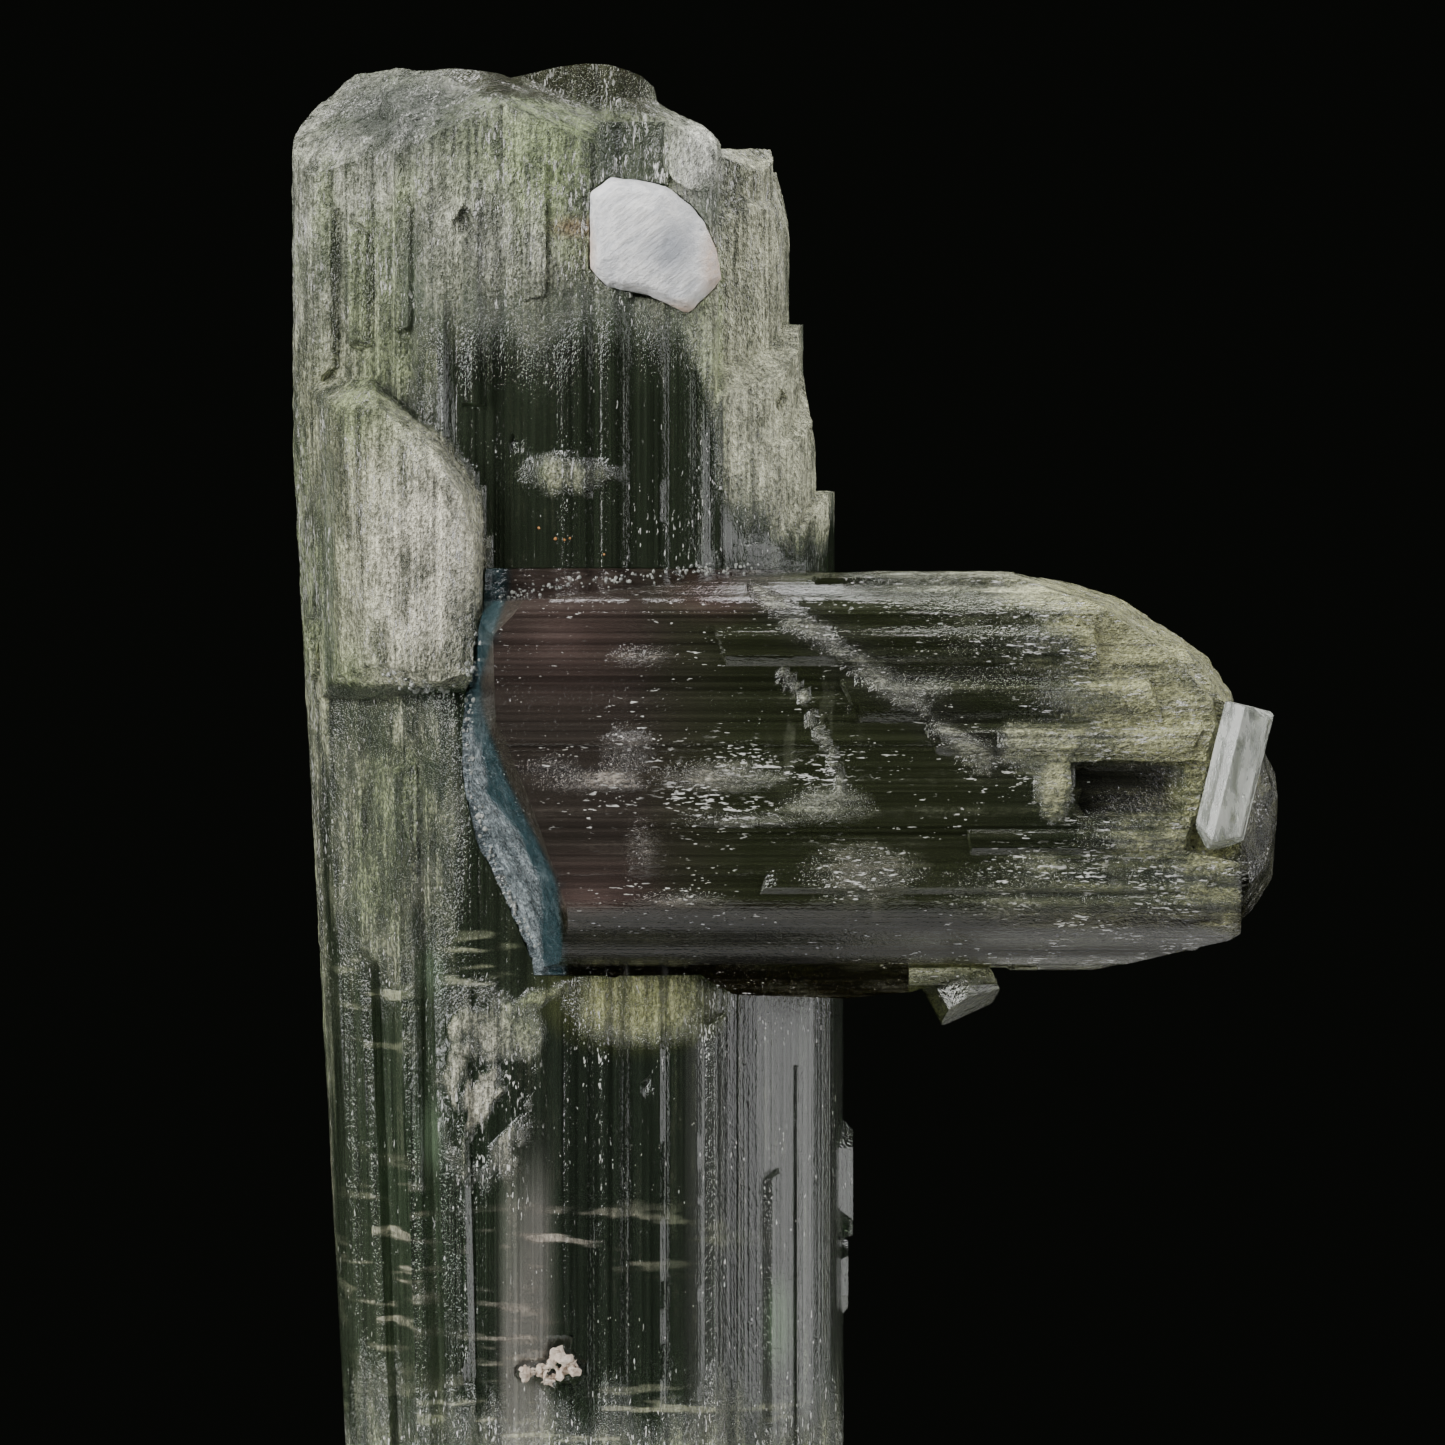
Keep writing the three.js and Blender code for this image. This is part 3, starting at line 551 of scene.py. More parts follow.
def prism(section, start, end, grow=0.0, along=X_AXIS):
    middle = np.mean(section, axis=0)
    ring = []
    for corner in section:
        out = np.array(corner) - middle
        ring.append(np.array(corner) + out / np.linalg.norm(out) * grow)
    solid = bmesh.new()
    ends = []
    for depth in (start - grow, end + grow):
        ends.append([solid.verts.new(np.insert(c, along, depth) * MM) for c in ring])
    solid.faces.new(ends[0])
    solid.faces.new(reversed(ends[1]))
    count = len(ring)
    for i in range(count):
        j = (i + 1) % count
        solid.faces.new((ends[0][j], ends[0][i], ends[1][i], ends[1][j]))
    bmesh.ops.recalc_face_normals(solid, faces=solid.faces)
    mesh = bpy.data.meshes.new("cutter")
    solid.to_mesh(mesh)
    solid.free()
    return linked("cutter", mesh)


def block(spans, grow=0.0):
    (x0, x1), (y0, y1), (z0, z1) = spans
    return prism([(y0, z0), (y1, z0), (y1, z1), (y0, z1)], x0, x1, grow)


def cross_cutter(grow=0.0):
    cutter = prism(CROSS_PARTING, CROSS_PARTING_START, CROSS_PARTING_END, grow)
    return carved(cutter, prism(CROSS_OUTLINE, *CROSS_OUTLINE_DEPTHS, grow, Y_AXIS), "INTERSECT")


def carved(piece, cutter, operation):
    step = piece.modifiers.new("carve", "BOOLEAN")
    step.operation = operation
    step.solver = "EXACT"
    step.object = cutter
    baked(piece)
    bpy.data.objects.remove(cutter)
    return piece


def refined(piece, depth, scale):
    step = piece.modifiers.new("refine", "REMESH")
    step.mode = "SHARP"
    step.octree_depth = depth
    step.scale = scale
    step.sharpness = 1.0
    step.use_remove_disconnected = False
    return baked(piece)


def places(mesh):
    flat = np.empty(len(mesh.vertices) * 3)
    mesh.vertices.foreach_get("co", flat)
    return flat.reshape(-1, 3) / MM


def directions(mesh):
    flat = np.empty(len(mesh.vertices) * 3)
    mesh.vertices.foreach_get("normal", flat)
    return flat.reshape(-1, 3)


def set_places(mesh, points):
    mesh.vertices.foreach_set("co", (points * MM).astype(np.float32).ravel())
    mesh.update()


def shade(mesh, angle=SHARP_ANGLE):
    for face in mesh.polygons:
        face.use_smooth = True
    mesh.set_sharp_from_angle(angle=math.radians(angle))


def store_value(mesh, name, values):
    layer = mesh.attributes.new(name, "FLOAT", "POINT")
    layer.data.foreach_set("value", values.astype(np.float32))


def store_colour(mesh, name, colours):
    layer = mesh.attributes.new(name, "FLOAT_COLOR", "POINT")
    full = np.ones((len(colours), 4), dtype=np.float32)
    full[:, :3] = colours
    layer.data.foreach_set("color", full.ravel())


def tinted(points, ground, layers):
    colour = np.tile(np.array(ground), (len(points), 1))
    for mask, tint in layers:
        colour = colour * (1 - mask[:, None]) + np.array(tint) * mask[:, None]
    return colour


# Highest value of the layers at every point, never below the ground value
def strongest(points, ground, layers):
    value = np.full(len(points), ground)
    for layer in layers:
        value = np.maximum(value, layer)
    return value


# Colour layers made of soft spots
def tint_spots(points, rows):
    layers = []
    for centre, radii, soft, amount, tint in rows:
        layers.append((amount * spot(points, centre, radii, soft), tint))
    return layers


# How frosted the upright crystal is
def upright_frost(p):
    x, y, z = p[:, 0], p[:, 1], p[:, 2]
    uneven = grain(p, *UPRIGHT_UNEVEN)
    jagged = fade(grain(p, *JAGGED_GRAIN), -0.12, 0.1)
    flank = fade(x + 0.9 * uneven, *FLANK_SIDE) * fade(z + uneven, *FLANK_HEIGHT)
    rough_block = field(p, [ROUGH_BLOCK_X, None, ROUGH_BLOCK_Z]) * front(p, BLOCK_DEPTH)
    glossy_block = field(p, [GLOSSY_BLOCK_X, None, GLOSSY_BLOCK_Z]) * front(p, BLOCK_DEPTH)
    layers = [
        0.7 * fade(z + 2.2 * uneven, *TOP_CRUST),
        0.55 * fade(-x + uneven, *LEFT_CRUST_SIDE) * fade(z, *LEFT_CRUST_HEIGHT),
        0.85 * band(p, *RIGHT_CRUST, 1.5 + 0.8 * uneven),
        flank * (0.3 + 0.45 * front(p, FLANK_DEPTH)),
        0.75 * lobe(p) * fade(x + 0.5 * uneven, *LOBE_LEFT),
        0.5 * fade(-x + 0.6 * uneven, *LEFT_EDGE),
        0.75 * jagged * spot(p, *JAGGED_VEIL, 0.6),
        0.6 * band(p, *LEFT_SEAM, 0.3 + 0.5 * uneven),
        0.29 * fade(-z + 2.5 * uneven, *BASE_CRUST),
        0.12 * fade(y, *BACK_CRUST),
        0.12 * fade(z + 1.6 * uneven, *CLOUDY_HEIGHT),
        0.95 * rough_block,
    ]
    for centre, (wide, high), (wide_wobble, high_wobble), soft, amount in UPRIGHT_FROST:
        radii = (wide + wide_wobble * uneven, high + high_wobble * uneven)
        layers.append(amount * spot(p, centre, radii, soft))
    frost = strongest(p, CLEAR_FROST, layers)
    frost *= 1.0 - 0.8 * glossy_block
    frost *= 1.0 - 0.7 * spot(p, *DARK_POCKET)
    frost *= 1.0 - 0.85 * wall(p)
    return np.clip(frost, 0.0, 1.0)


# How cloudy the upright crystal is under its surface
def upright_haze(p):
    x, y, z = p[:, 0], p[:, 1], p[:, 2]
    layers = [
        0.25 + 0.5 * fade(y, *BACK_HAZE),
        0.9 * fade(z, *TOP_HAZE),
        0.9 * fade(x, *FLANK_HAZE_SIDE) * fade(z, *FLANK_HAZE_HEIGHT),
        0.9 * lobe(p),
    ]
    for left, right, low, high, amount in COLUMNS:
        layers.append(amount * column(p, left, right, low, high))
    haze = strongest(p, 0.0, layers)
    haze *= 1.0 - 0.5 * field(p, [GLOSSY_BLOCK_X, None, GLOSSY_BLOCK_Z])
    return haze * (1.0 - 0.6 * wall(p))


# Where the upright crystal has level fracture lines
def upright_veil(p):
    return strongest(p, 0.0, [0.7 * spot(p, centre, radii) for centre, radii in WISP_PATCHES])


# Where white specks gather on the upright crystal: dust, and painted glints on the top, the left edge and
# the side crystal
def upright_dust_and_glints(p):
    x, z = p[:, 0], p[:, 2]
    layers = [amount * spot(p, centre, radii) for centre, radii, amount in UPRIGHT_DUST]
    layers += [
        0.8 * fade(-z, *BASE_DUST),
        0.9 * fade(-x, *LEFT_EDGE),
        0.95 * fade(z, *TOP_DUST_AND_GLINTS),
        0.8 * lobe(p),
    ]
    return strongest(p, SPARSE_DUST, layers)


# Colour of the clear parts of the upright crystal, with painted sheen on the right flank and painted
# shade on the lower front centre
def upright_body(p):
    right, left, low, high = GREY_COLUMN
    return tinted(p, DARK_GREEN, [
        # Painted sheen: grey-green on the right flank below 24 mm, where its faces reflect the right lamp
        (fade(p[:, 0], *SHEEN_SIDE) * fade(-p[:, 2], *SHEEN_HEIGHT), PAINTED_SHEEN_GREY),
        # Painted shade: darker green on the lower front centre, standing in for the dark surroundings
        # that this face reflects
        (field(p, [PAINTED_SHADE_FIELD_X, None, PAINTED_SHADE_FIELD_Z]), PAINTED_SHADE_GREEN),
        (column(p, right, left, low, high), VEIL_GREY),
        *tint_spots(p, UPRIGHT_TINTS),
        (wall(p), WALL_GREEN),
    ])


# Colour of the frost on the upright crystal
def upright_pale(p):
    x, z = p[:, 0], p[:, 2]
    leaf = 0.6 * fade(grain(p, *LEAF_GRAIN), 0.0, 0.35)
    return tinted(p, PALE_GREEN, [
        (fade(z, *GREY_CRUST), PALE_GREY),
        (leaf, LEAF_GREEN),
        (fade(x, *FLANK_PALE_SIDE) * fade(z, *FLANK_PALE_HEIGHT), FLANK_PALE),
        *tint_spots(p, UPRIGHT_FROST_TINTS),
    ])


# Blue strip at the left end of the cross crystal
def strip_mask(p, inset=0.0):
    edge = np.interp(p[:, 2], [z for z, _ in STRIP_EDGE], [x for _, x in STRIP_EDGE])
    return fade(edge - inset - p[:, 0], *STRIP_EDGE_FADE)


# How frosted the cross crystal is
def cross_frost(p):
    x, z = p[:, 0], p[:, 2]
    uneven = grain(p, *CROSS_UNEVEN)
    layers = [
        0.85 * fade(x + 4.0 * uneven + (z - TIP_CRUST_LEVEL) * TIP_CRUST_LEAN, *TIP_CRUST),
        0.42 * band(p, DIAGONAL_START, DIAGONAL_END, 0.36 + 0.4 * uneven),
        0.14 * fade(x, *UPPER_CRUST_SIDE) * fade(z + 2.0 * uneven, *UPPER_CRUST_HEIGHT),
        0.2 * spot(p, *LOWER_CRUST),
        0.5 * spot(p, *SCRATCHED_PATCH) * fade(uneven, -0.1, 0.3),
        0.4 * fade(z, *TOP_EDGE_HEIGHT) * fade(x, *TOP_EDGE_SIDE),
        0.06 * fade(-z, *LOWER_EDGE),
        0.12 * strip_mask(p),
        0.65 * strip_mask(p, STRIP_RIDGE_INSET + 0.5 * uneven),
        0.8 * spot(p, *WINDOW_RIM, 0.3),
        0.6 * field(p, [WINDOW_LEDGE_X, None, WINDOW_LEDGE_Z]),
    ]
    for start, end in zip(CROSS_CRACK, CROSS_CRACK[1:]):
        layers.append(0.55 * band(p, start, end, 0.12 + 0.12 * uneven, 0.9))
    for centre, radii, amount in CROSS_SMUDGES:
        layers.append(0.6 * amount * spot(p, centre, radii, 0.7))
    frost = strongest(p, CLEAR_FROST, layers)
    frost *= 1.0 - 0.7 * field(p, [WINDOW_X, WINDOW_Y, WINDOW_Z], 0.15)
    frost *= 1.0 - 0.75 * fade(x, *CAP_EDGE)
    return np.clip(frost, 0.0, 1.0)


# How cloudy the cross crystal is under its surface
def cross_haze(p):
    x, y, z = p[:, 0], p[:, 1], p[:, 2]
    haze = strongest(p, 0.0, [
        0.22 + 0.25 * fade(-x, *LEFT_END_HAZE) + 0.3 * fade(y, *CROSS_BACK_HAZE),
        0.6 * spot(p, *TOP_LEFT_ROSE),
        0.8 * spot(p, *LOW_LEFT_CLOUD),
    ])
    haze *= 0.3 + 0.7 * fade(z, *LOWER_FACET)
    haze = np.maximum(haze, 0.7 * strip_mask(p))
    return haze * (1.0 - fade(x, *CAP_EDGE))


# Where the cross crystal has upright fracture lines
def cross_veil(p):
    return strongest(p, 0.0, [0.22 * spot(p, *CRACK_VEIL), 0.3 * spot(p, *ROSE_CLOUD_VEIL)])


# Where white specks gather on the cross crystal: dust and painted glints
def cross_dust_and_glints(p):
    x = p[:, 0]
    layers = [0.2 * fade(x, *LEFT_END_DUST), 0.8 * fade(x, *TIP_DUST)]
    for centre, radii, amount in CROSS_DUST:
        layers.append(amount * spot(p, centre, radii))
    for centre, radii, amount in CROSS_SMUDGES:
        layers.append(1.5 * amount * spot(p, centre, radii, 0.7))
    dust_and_glints = strongest(p, 0.0, layers)
    return dust_and_glints * (1.0 - field(p, [WINDOW_X, WINDOW_Y, WINDOW_Z], 0.15))


# Colour of the clear parts of the cross crystal, with painted shade in the window and on the lower facet
# and a painted glow in the window
def cross_body(p):
    x, z = p[:, 0], p[:, 2]
    return tinted(p, OLIVE, [
        (1.0 - fade(x, *PURPLE_END), PURPLE_BROWN),
        *tint_spots(p, CROSS_TINTS),
        (fade(x, *GREEN_TIP), DARK_GREEN),
        # Painted glow: yellow-green light spot at the right of the window
        (spot(p, *WINDOW_GLOW), YELLOW_GREEN),
        (fade(x, *CAP_EDGE), CAP_GREY),
        (0.7 * band(p, DIAGONAL_START, DIAGONAL_TAIL, 0.7, 0.9), VEIL_GREY),
        # Painted shade: near-black in the recessed window
        (field(p, [WINDOW_SHADE_X, WINDOW_Y, WINDOW_Z], 0.15), PAINTED_SHADE_BLACK),
        # Painted shade: near-black olive on the downward-facing lower facet
        (1.0 - fade(z, *LOWER_FACET), PAINTED_SHADE_OLIVE),
        (strip_mask(p), TEAL),
    ])


# Colour of the frost on the cross crystal
def cross_pale(p):
    x = p[:, 0]
    return tinted(p, PALE_GREY, [
        (1.0 - fade(x, *ROSE_FROST_END), PALE_ROSE),
        (spot(p, *ROSE_CLOUD), PALE_ROSE),
        (fade(x, *YELLOW_FROST), PALE_YELLOW),
        (strip_mask(p), BLUE_WHITE),
    ])


# Masks of the small green prism
def pendant_frost(p):
    return 0.05 + 0.5 * fade(p[:, 2], *PENDANT_CRUST)


def pendant_haze(p):
    return np.full(len(p), 0.1)


def pendant_veil(p):
    return np.zeros(len(p))


def pendant_dust(p):
    return 0.6 * fade(p[:, 2], *PENDANT_DUST)


def pendant_body(p):
    return tinted(p, MOSS_GREEN, [])


def pendant_pale(p):
    return tinted(p, PALE_GREEN, [])


# Grey hollow and brown seams of the white crystal
def white_window(p):
    return 0.9 * spot(p, *WHITE_HOLLOW, 0.6)


def white_stain(p):
    return strongest(p, 0.0, [spot(p, centre, radii) for centre, radii in WHITE_SEAMS])


# Surface relief: ribs along the crystal, roughness where it is frosted
def stretched(along, lengthwise, across=1.0):
    return np.array([lengthwise if i == along else across for i in range(3)])


def relief(piece, frost, along, rib, rough):
    mesh = piece.data
    points = places(mesh)
    normals = directions(mesh)
    crosswise = stretched(along, *LUMP_STRETCH)
    ribs = grain(points, stretched(along, *RIB_STRETCH), 1, 2)
    lumps = grain(points, crosswise, 2, 3)
    ends = np.abs(normals[:, along])
    steps = np.round(grain(points, crosswise * STEP_STRETCH, 6, 2) * STEP_LEVELS) / STEP_LEVELS
    height = rib * ribs * (1.0 - ends) + rough * (lumps + steps) * (LEAST_ROUGHNESS + frost)
    set_places(mesh, points + normals * height[:, None])


# Material nodes
class Nodes:
    def __init__(self, name):
        self.material = bpy.data.materials.new(name)
        self.material.use_nodes = True
        self.tree = self.material.node_tree
        self.shader = self.tree.nodes["Principled BSDF"]
        self.output = self.tree.nodes["Material Output"]

    def add(self, kind, inputs=None, **settings):
        made = self.tree.nodes.new(kind)
        for key, value in settings.items():
            setattr(made, key, value)
        for key, value in (inputs or {}).items():
            self.give(made.inputs[key], value)
        return made

    def give(self, socket, value):
        if isinstance(value, bpy.types.NodeSocket):
            self.tree.links.new(value, socket)
        else:
            socket.default_value = value

    def math(self, operation, first, second):
        made = self.add("ShaderNodeMath", operation=operation)
        self.give(made.inputs[0], first)
        self.give(made.inputs[1], second)
        return made.outputs[0]

    def value(self, name):
        return self.add("ShaderNodeAttribute", attribute_name=name).outputs["Fac"]

    def colour(self, name):
        return self.add("ShaderNodeAttribute", attribute_name=name).outputs["Color"]

    def grain(self, stretch, scale, detail, rough, seed, turn=0.0):
        place = self.add("ShaderNodeTexCoord").outputs["Object"]
        if turn:
            turned = self.add("ShaderNodeMapping", {"Vector": place})
            turned.inputs["Rotation"].default_value = (0.0, math.radians(turn), 0.0)
            place = turned.outputs[0]
        mapped = self.add("ShaderNodeMapping", {"Vector": place})
        mapped.inputs["Scale"].default_value = [s / MM for s in stretch]
        mapped.inputs["Location"].default_value = (seed, seed * 1.7, seed * 0.6)
        texture = self.add("ShaderNodeTexNoise", {
            "Vector": mapped.outputs[0], "Scale": scale, "Detail": detail, "Roughness": rough,
        })
        return texture.outputs["Fac"]

    def pattern(self, along, row):
        lengthwise, scale, detail, rough, seed = row
        return self.grain(stretched(along, lengthwise), scale, detail, rough, seed)

    def span(self, value, low, high, to_low=0.0, to_high=1.0):
        made = self.add("ShaderNodeMapRange", {
            "Value": value, "From Min": low, "From Max": high, "To Min": to_low, "To Max": to_high,
        })
        return made.outputs[0]

    def paint(self, socket, value):
        self.give(socket, value if isinstance(value, bpy.types.NodeSocket) else (*value, 1))

    def mix(self, factor, first, second):
        made = self.add("ShaderNodeMix", data_type="RGBA")
        self.give(made.inputs["Factor"], factor)
        self.paint(made.inputs[6], first)
        self.paint(made.inputs[7], second)
        return made.outputs[2]

    def scaled(self, colour, factor):
        made = self.add("ShaderNodeVectorMath", operation="SCALE")
        self.give(made.inputs[0], colour)
        self.give(made.inputs["Scale"], factor)
        return made.outputs[0]

    def bump(self, height, depth, normal=None):
        made = self.add("ShaderNodeBump", {"Height": height, "Distance": depth * MM, "Strength": 1.0})
        if normal:
            self.give(made.inputs["Normal"], normal)
        return made.outputs[0]

    def surface(self, colour, rough, clear, refraction, normal):
        self.paint(self.shader.inputs["Base Color"], colour)
        self.give(self.shader.inputs["Roughness"], rough)
        self.give(self.shader.inputs["Transmission Weight"], clear)
        self.give(self.shader.inputs["IOR"], refraction)
        self.give(self.shader.inputs["Normal"], normal)

    def absorb(self, colour, density):
        volume = self.add("ShaderNodeVolumeAbsorption", {"Color": (*colour, 1), "Density": density})
        self.tree.links.new(volume.outputs[0], self.output.inputs["Volume"])


# How much of the surface is frosted, broken up by the grain of the crystal
def frost_cover(n, along, combs, flakes, clouds):
    frost = n.value("frost")
    streaks = n.pattern(along, STREAKS)
    change = n.math("ADD", n.span(streaks, *STREAK_CHANGE), n.span(flakes, *FLAKE_CHANGE))
    change = n.math("ADD", change, n.span(clouds, *CLOUD_CHANGE))
    reach = n.span(frost, *CHANGE_REACH)
    cover = n.math("ADD", frost, n.math("MULTIPLY", change, reach))
    cover = n.math("ADD", cover, n.span(combs, *COMB_COVER))
    veils = n.span(n.grain(stretched(along, *VEIL_STRETCH), *VEILS), *VEIL_EDGE)
    veils = n.math("MULTIPLY", veils, n.value("veil"))
    return n.math("MAXIMUM", n.span(cover, *FROST_EDGE), veils)


# Small white specks in clusters, partly dust and partly painted glints
def white_specks_and_glints(n, along, sparks):
    dust_and_glints = n.math("MULTIPLY", n.value("dust_and_glints"), DUST_AND_GLINT_STRENGTH)
    dots = n.span(n.math("ADD", sparks, dust_and_glints), *SPECK_EDGE)
    clusters = n.span(n.pattern(along, CLUSTERS), *CLUSTER_EDGE)
    return n.math("MULTIPLY", dots, clusters)


# See-through tourmaline with frost, specks and fine grooves along the crystal; the specks, flake tone and
# groove lines also paint glints, sheen and shade into its colour
def tourmaline(name, along, absorption):
    n = Nodes(name)
    threads = n.pattern(along, THREADS)
    combs = n.pattern(along, COMBS)
    flakes = n.pattern(along, FLAKES)
    clouds = n.pattern(along, CLOUDS)
    sparks = n.pattern(along, SPARKS)
    grooves = n.math("ADD", threads, combs)
    # Groove lines: tone along the crystal, partly its grain and partly painted sheen and shade where the
    # striations catch the light
    lines = n.span(grooves, *LINE_GRAIN_AND_SHEEN_TONE)
    cover = frost_cover(n, along, combs, flakes, clouds)
    specks_and_glints = white_specks_and_glints(n, along, sparks)
    opaque = n.math("MAXIMUM", cover, specks_and_glints)
    haze = n.value("haze")

    # Frost tone: random flake mottle that also paints glints and the shade of small pits into the frost
    # colour
    tone = n.math("MULTIPLY", n.span(flakes, *FLAKE_TONE_AND_GLINTS), lines)
    tone = n.math("MULTIPLY", tone, n.span(clouds, *CLOUD_TONE))
    face = n.mix(cover, n.scaled(n.colour("body"), lines), n.scaled(n.colour("pale"), tone))
    colour = n.mix(specks_and_glints, face, SPECK_AND_GLINT_WHITE)

    hazy_rough = n.math("MULTIPLY", haze, HAZE_ROUGHNESS)
    rough = n.math("MAXIMUM", n.span(opaque, *COVERED_ROUGHNESS), hazy_rough)
    rough = n.math("MULTIPLY", rough, n.span(sparks, *SPARK_GLOSS))

    hazy_solid = n.math("MULTIPLY", haze, HAZE_SOLIDNESS)
    solid = n.math("MAXIMUM", hazy_solid, n.span(opaque, *COVERED_SOLIDNESS))
    clear = n.math("SUBTRACT", 1.0, solid)

    crust = n.math("MULTIPLY", flakes, n.span(n.value("frost"), *CRUST_FROST))
    normal = n.bump(crust, CRUST_DEPTH, n.bump(grooves, GROOVE_DEPTH))
    n.surface(colour, rough, clear, TOURMALINE_IOR, normal)
    n.absorb(*absorption)
    return n.material


def milky(name):
    n = Nodes(name)
    cloud = n.grain((1, 1, 1), *MILK_CLOUDS)
    lines = n.grain(MILK_LINE_STRETCH, *MILK_LINES, MILK_LINE_ANGLE)
    mottle = n.math("ADD", n.math("MULTIPLY", cloud, 0.5), n.math("MULTIPLY", lines, 0.5))
    tone = n.mix(n.span(mottle, *MILK_TONE), MILK_SHADE, MILK_LIGHT)
    tone = n.mix(n.value("window"), tone, MILK_HOLLOW)
    tone = n.mix(n.math("MULTIPLY", n.value("stain"), lines), tone, STAIN_BROWN)
    rough = n.span(lines, *MILK_ROUGHNESS)
    clear = n.span(cloud, *MILK_CLEARNESS)
    n.surface(tone, rough, clear, QUARTZ_IOR, n.bump(mottle, MILK_DEPTH))
    n.absorb(*MILK_ABSORPTION)
    return n.material


def glassy(name, absorption):
    n = Nodes(name)
    flaw = n.grain(GLASS_FLAW_STRETCH, *GLASS_FLAWS)
    haze = n.span(flaw, *GLASS_HAZE)
    tone = n.mix(haze, CLEAR_WHITE, CLOUD_WHITE)
    rough = n.span(haze, *GLASS_ROUGHNESS)
    clear = n.span(haze, *GLASS_CLEARNESS)
    n.surface(tone, rough, clear, QUARTZ_IOR, n.bump(flaw, GLASS_DEPTH))
    n.absorb(*absorption)
    return n.material


def stone(name, dark, light):
    n = Nodes(name)
    mottle = n.grain((1, 1, 1), *STONE_MOTTLE)
    n.give(n.shader.inputs["Base Color"], n.mix(n.span(mottle, *STONE_TONE), dark, light))
    n.give(n.shader.inputs["Roughness"], STONE_ROUGHNESS)
    n.give(n.shader.inputs["Normal"], n.bump(mottle, STONE_DEPTH))
    return n.material


# Pieces cut from the crossed crystals
def finished(piece, along, masks, material, rib, rough):
    mesh = piece.data
    find_frost, find_haze, find_veil, find_dust_and_glints, find_body, find_pale = masks
    relief(piece, find_frost(places(mesh)), along, rib, rough)
    points = places(mesh)
    store_value(mesh, "frost", find_frost(points))
    store_value(mesh, "haze", find_haze(points))
    store_value(mesh, "veil", find_veil(points))
    store_value(mesh, "dust_and_glints", find_dust_and_glints(points))
    store_colour(mesh, "body", find_body(points))
    store_colour(mesh, "pale", find_pale(points))
    shade(mesh)
    mesh.materials.clear()
    mesh.materials.append(material)
    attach(piece, "root")
    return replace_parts(piece, "crossed_crystals")


def make_upright():
    piece = node_copy("upright_crystal", "crossed_crystals")
    carved(piece, cross_cutter(PARTING_GAP), "DIFFERENCE")
    carved(piece, block(PENDANT_BOX, PARTING_GAP), "DIFFERENCE")
    refined(piece, *UPRIGHT_FINENESS)
    material = tourmaline("green_tourmaline", Z_AXIS, UPRIGHT_ABSORPTION)
    masks = (upright_frost, upright_haze, upright_veil, upright_dust_and_glints, upright_body, upright_pale)
    return finished(piece, Z_AXIS, masks, material, *UPRIGHT_RELIEF)


def make_cross():
    piece = node_copy("cross_crystal", "crossed_crystals")
    carved(piece, cross_cutter(), "INTERSECT")
    carved(piece, block(PENDANT_BOX, PARTING_GAP), "DIFFERENCE")
    refined(piece, *CROSS_FINENESS)
    material = tourmaline("brown_green_tourmaline", X_AXIS, CROSS_ABSORPTION)
    masks = (cross_frost, cross_haze, cross_veil, cross_dust_and_glints, cross_body, cross_pale)
    return finished(piece, X_AXIS, masks, material, *CROSS_RELIEF)


def make_pendant():
    piece = node_copy("pendant_crystal", "crossed_crystals")
    carved(piece, block(PENDANT_BOX), "INTERSECT")
    refined(piece, *PENDANT_FINENESS)
    material = tourmaline("pale_tourmaline", X_AXIS, PENDANT_ABSORPTION)
    masks = (pendant_frost, pendant_haze, pendant_veil, pendant_dust, pendant_body, pendant_pale)
    return finished(piece, X_AXIS, masks, material, *PENDANT_RELIEF)


# Pieces with a node of their own
def make_small(name, node, material, slot, rough, grow):
    piece = node_copy(name, node)
    refined(piece, *SMALL_FINENESS)
    mesh = piece.data
    points = places(mesh)
    lumps = grain(points, SMALL_STRETCH, 4, 3)
    set_places(mesh, points + directions(mesh) * (grow + rough * lumps)[:, None])
    shade(mesh, SMALL_SHARP_ANGLE)
    mesh.materials.clear()
    mesh.materials.append(material)
    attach(piece, "root")
    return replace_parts(piece, node)


def make_white():
    material = milky("milky_quartz")
    piece = make_small("white_grain", "white_crystal", material, "white_crystal", *WHITE_RELIEF)
    points = places(piece.data)
    store_value(piece.data, "window", white_window(points))
    store_value(piece.data, "stain", white_stain(points))


def make_tip():
    material = glassy("clear_prism", PRISM_ABSORPTION)
    make_small("tip_rod", "tip_prism", material, "colourless_crystal", *TIP_RELIEF)


def make_feldspar():
    material = stone("feldspar", FELDSPAR_DARK, FELDSPAR_LIGHT)
    make_small("feldspar_grains", "feldspar_crumbs", material, "feldspar", *FELDSPAR_RELIEF)


# Steady random value of a numbered crumb
def chance(number, seed):
    step, second, third = seed
    return noise.noise(Vector((number * step, second, third)))


# Loose grit along a line, seated on the front of the pieces
def lump(into, centre, radius, seed):
    start = len(into.verts)
    bmesh.ops.create_icosphere(into, subdivisions=1, radius=radius)
    into.verts.ensure_lookup_table()
    for vertex in into.verts[start:]:
        bend = noise.noise(vertex.co / radius * LUMP_FINENESS + Vector((seed, seed * 2.3, 0)))
        vertex.co = Vector(centre) + vertex.co * (1.0 + LUMP_UNEVENNESS * bend)


def follow(edge, t):
    steps = [math.dist(a, b) for a, b in zip(edge, edge[1:])]
    rest = t * sum(steps)
    for (a, b), step in zip(zip(edge, edge[1:]), steps):
        if rest <= step:
            return [a[i] + (b[i] - a[i]) * rest / step for i in (0, 1)]
        rest -= step
    return list(edge[-1])


def seat(trees, x, z):
    start = Vector((x, GRIT_RAY_START, z)) * MM
    hits = [tree.ray_cast(start, Vector((0, 1, 0)))[0] for tree in trees]
    return min((hit.y for hit in hits if hit), default=None)


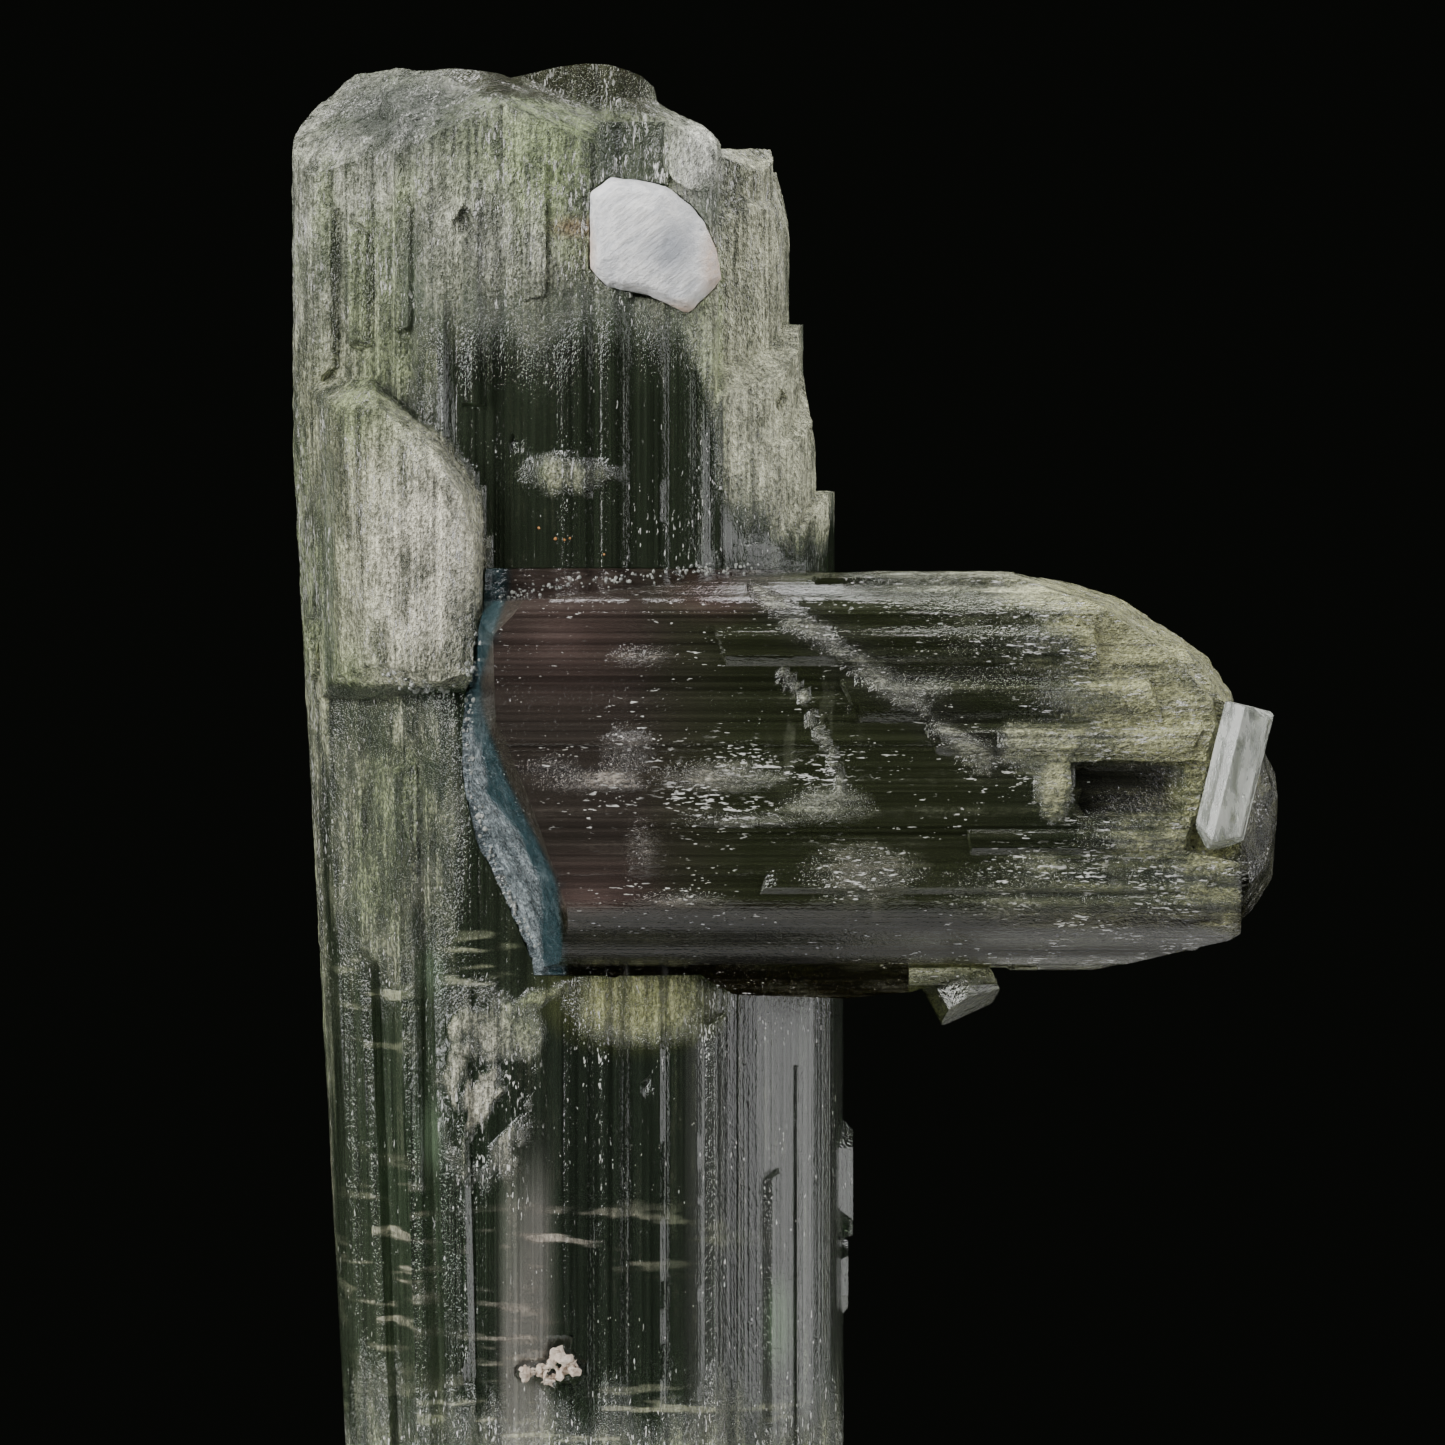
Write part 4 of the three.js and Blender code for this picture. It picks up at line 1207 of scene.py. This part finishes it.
def crumbs_on(pieces, row, material):
    name, edge, count, spread, (smallest, largest) = row
    graph = bpy.context.evaluated_depsgraph_get()
    trees = [BVHTree.FromObject(piece, graph) for piece in pieces]
    heap = bmesh.new()
    for i in range(count):
        t = abs(chance(i, (*PLACE_SEED, len(name)))) * LINE_SPREAD % 1.0
        x, z = follow(edge, (t + i * GOLDEN_STEP) % 1.0)
        x += spread * chance(i, X_SEED)
        z += spread * chance(i, Z_SEED)
        depth = seat(trees, x, z)
        if depth is not None:
            share = abs(chance(i, SIZE_SEED)) * 2
            radius = smallest + (largest - smallest) * share
            lump(heap, (x * MM, depth, z * MM), radius * MM, i * SHAPE_SEED)
    mesh = bpy.data.meshes.new(name)
    heap.to_mesh(mesh)
    heap.free()
    piece = linked(name, mesh)
    mesh.materials.append(material)
    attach(piece, "root")
    return piece


def make_crumbs(pieces):
    grit = glassy("white_grit", GRIT_ABSORPTION)
    rust = stone("rusty_grit", RUST_DARK, RUST_LIGHT)
    for row in WHITE_GRIT:
        crumbs_on(pieces, row, grit)
    crumbs_on(pieces, RUSTY_GRIT, rust)


# Floor, lights and camera
def make_floor():
    bpy.ops.mesh.primitive_cylinder_add(
        vertices=FLOOR_SIDES,
        radius=FLOOR_RADIUS * MM,
        depth=FLOOR_THICKNESS * MM,
        location=(0, 0, FLOOR_LEVEL * MM),
    )
    floor = bpy.context.object
    floor.name = "floor"
    n = Nodes("floor")
    n.paint(n.shader.inputs["Base Color"], FLOOR_PALE)
    n.give(n.shader.inputs["Roughness"], FLOOR_ROUGHNESS)
    floor.data.materials.append(n.material)


def soft_light(name, place, size, power):
    lamp = bpy.data.lights.new(name, "AREA")
    lamp.shape = "RECTANGLE"
    lamp.size = size[0] * MM
    lamp.size_y = size[1] * MM
    lamp.energy = power
    holder = bpy.data.objects.new(name, lamp)
    holder.location = Vector(place) * MM
    aim = (Vector(TARGET) - Vector(place)).to_track_quat("-Z", "Y")
    holder.rotation_euler = aim.to_euler()
    bpy.context.scene.collection.objects.link(holder)


def make_lights():
    for row in LIGHTS:
        soft_light(*row)
    world = bpy.data.worlds.new("studio")
    world.use_nodes = True
    world.node_tree.nodes["Background"].inputs["Color"].default_value = (*SURROUND, 1)
    bpy.context.scene.world = world


def make_camera():
    lens = bpy.data.cameras.new("camera")
    lens.sensor_width = SENSOR
    lens.lens = SENSOR * DISTANCE / FRAME_WIDTH
    lens.clip_start = NEAREST * MM
    holder = bpy.data.objects.new("camera", lens)
    tilt = math.radians(ELEVATION)
    back = Vector((0, -math.cos(tilt), math.sin(tilt))) * DISTANCE
    holder.location = (Vector(TARGET) + back) * MM
    holder.rotation_euler = (-back).to_track_quat("-Z", "Y").to_euler()
    bpy.context.scene.collection.objects.link(holder)
    bpy.context.scene.camera = holder


fronts = [make_upright(), make_cross()]
make_pendant()
make_white()
make_tip()
make_feldspar()
make_crumbs(fronts)
make_floor()
make_lights()
make_camera()
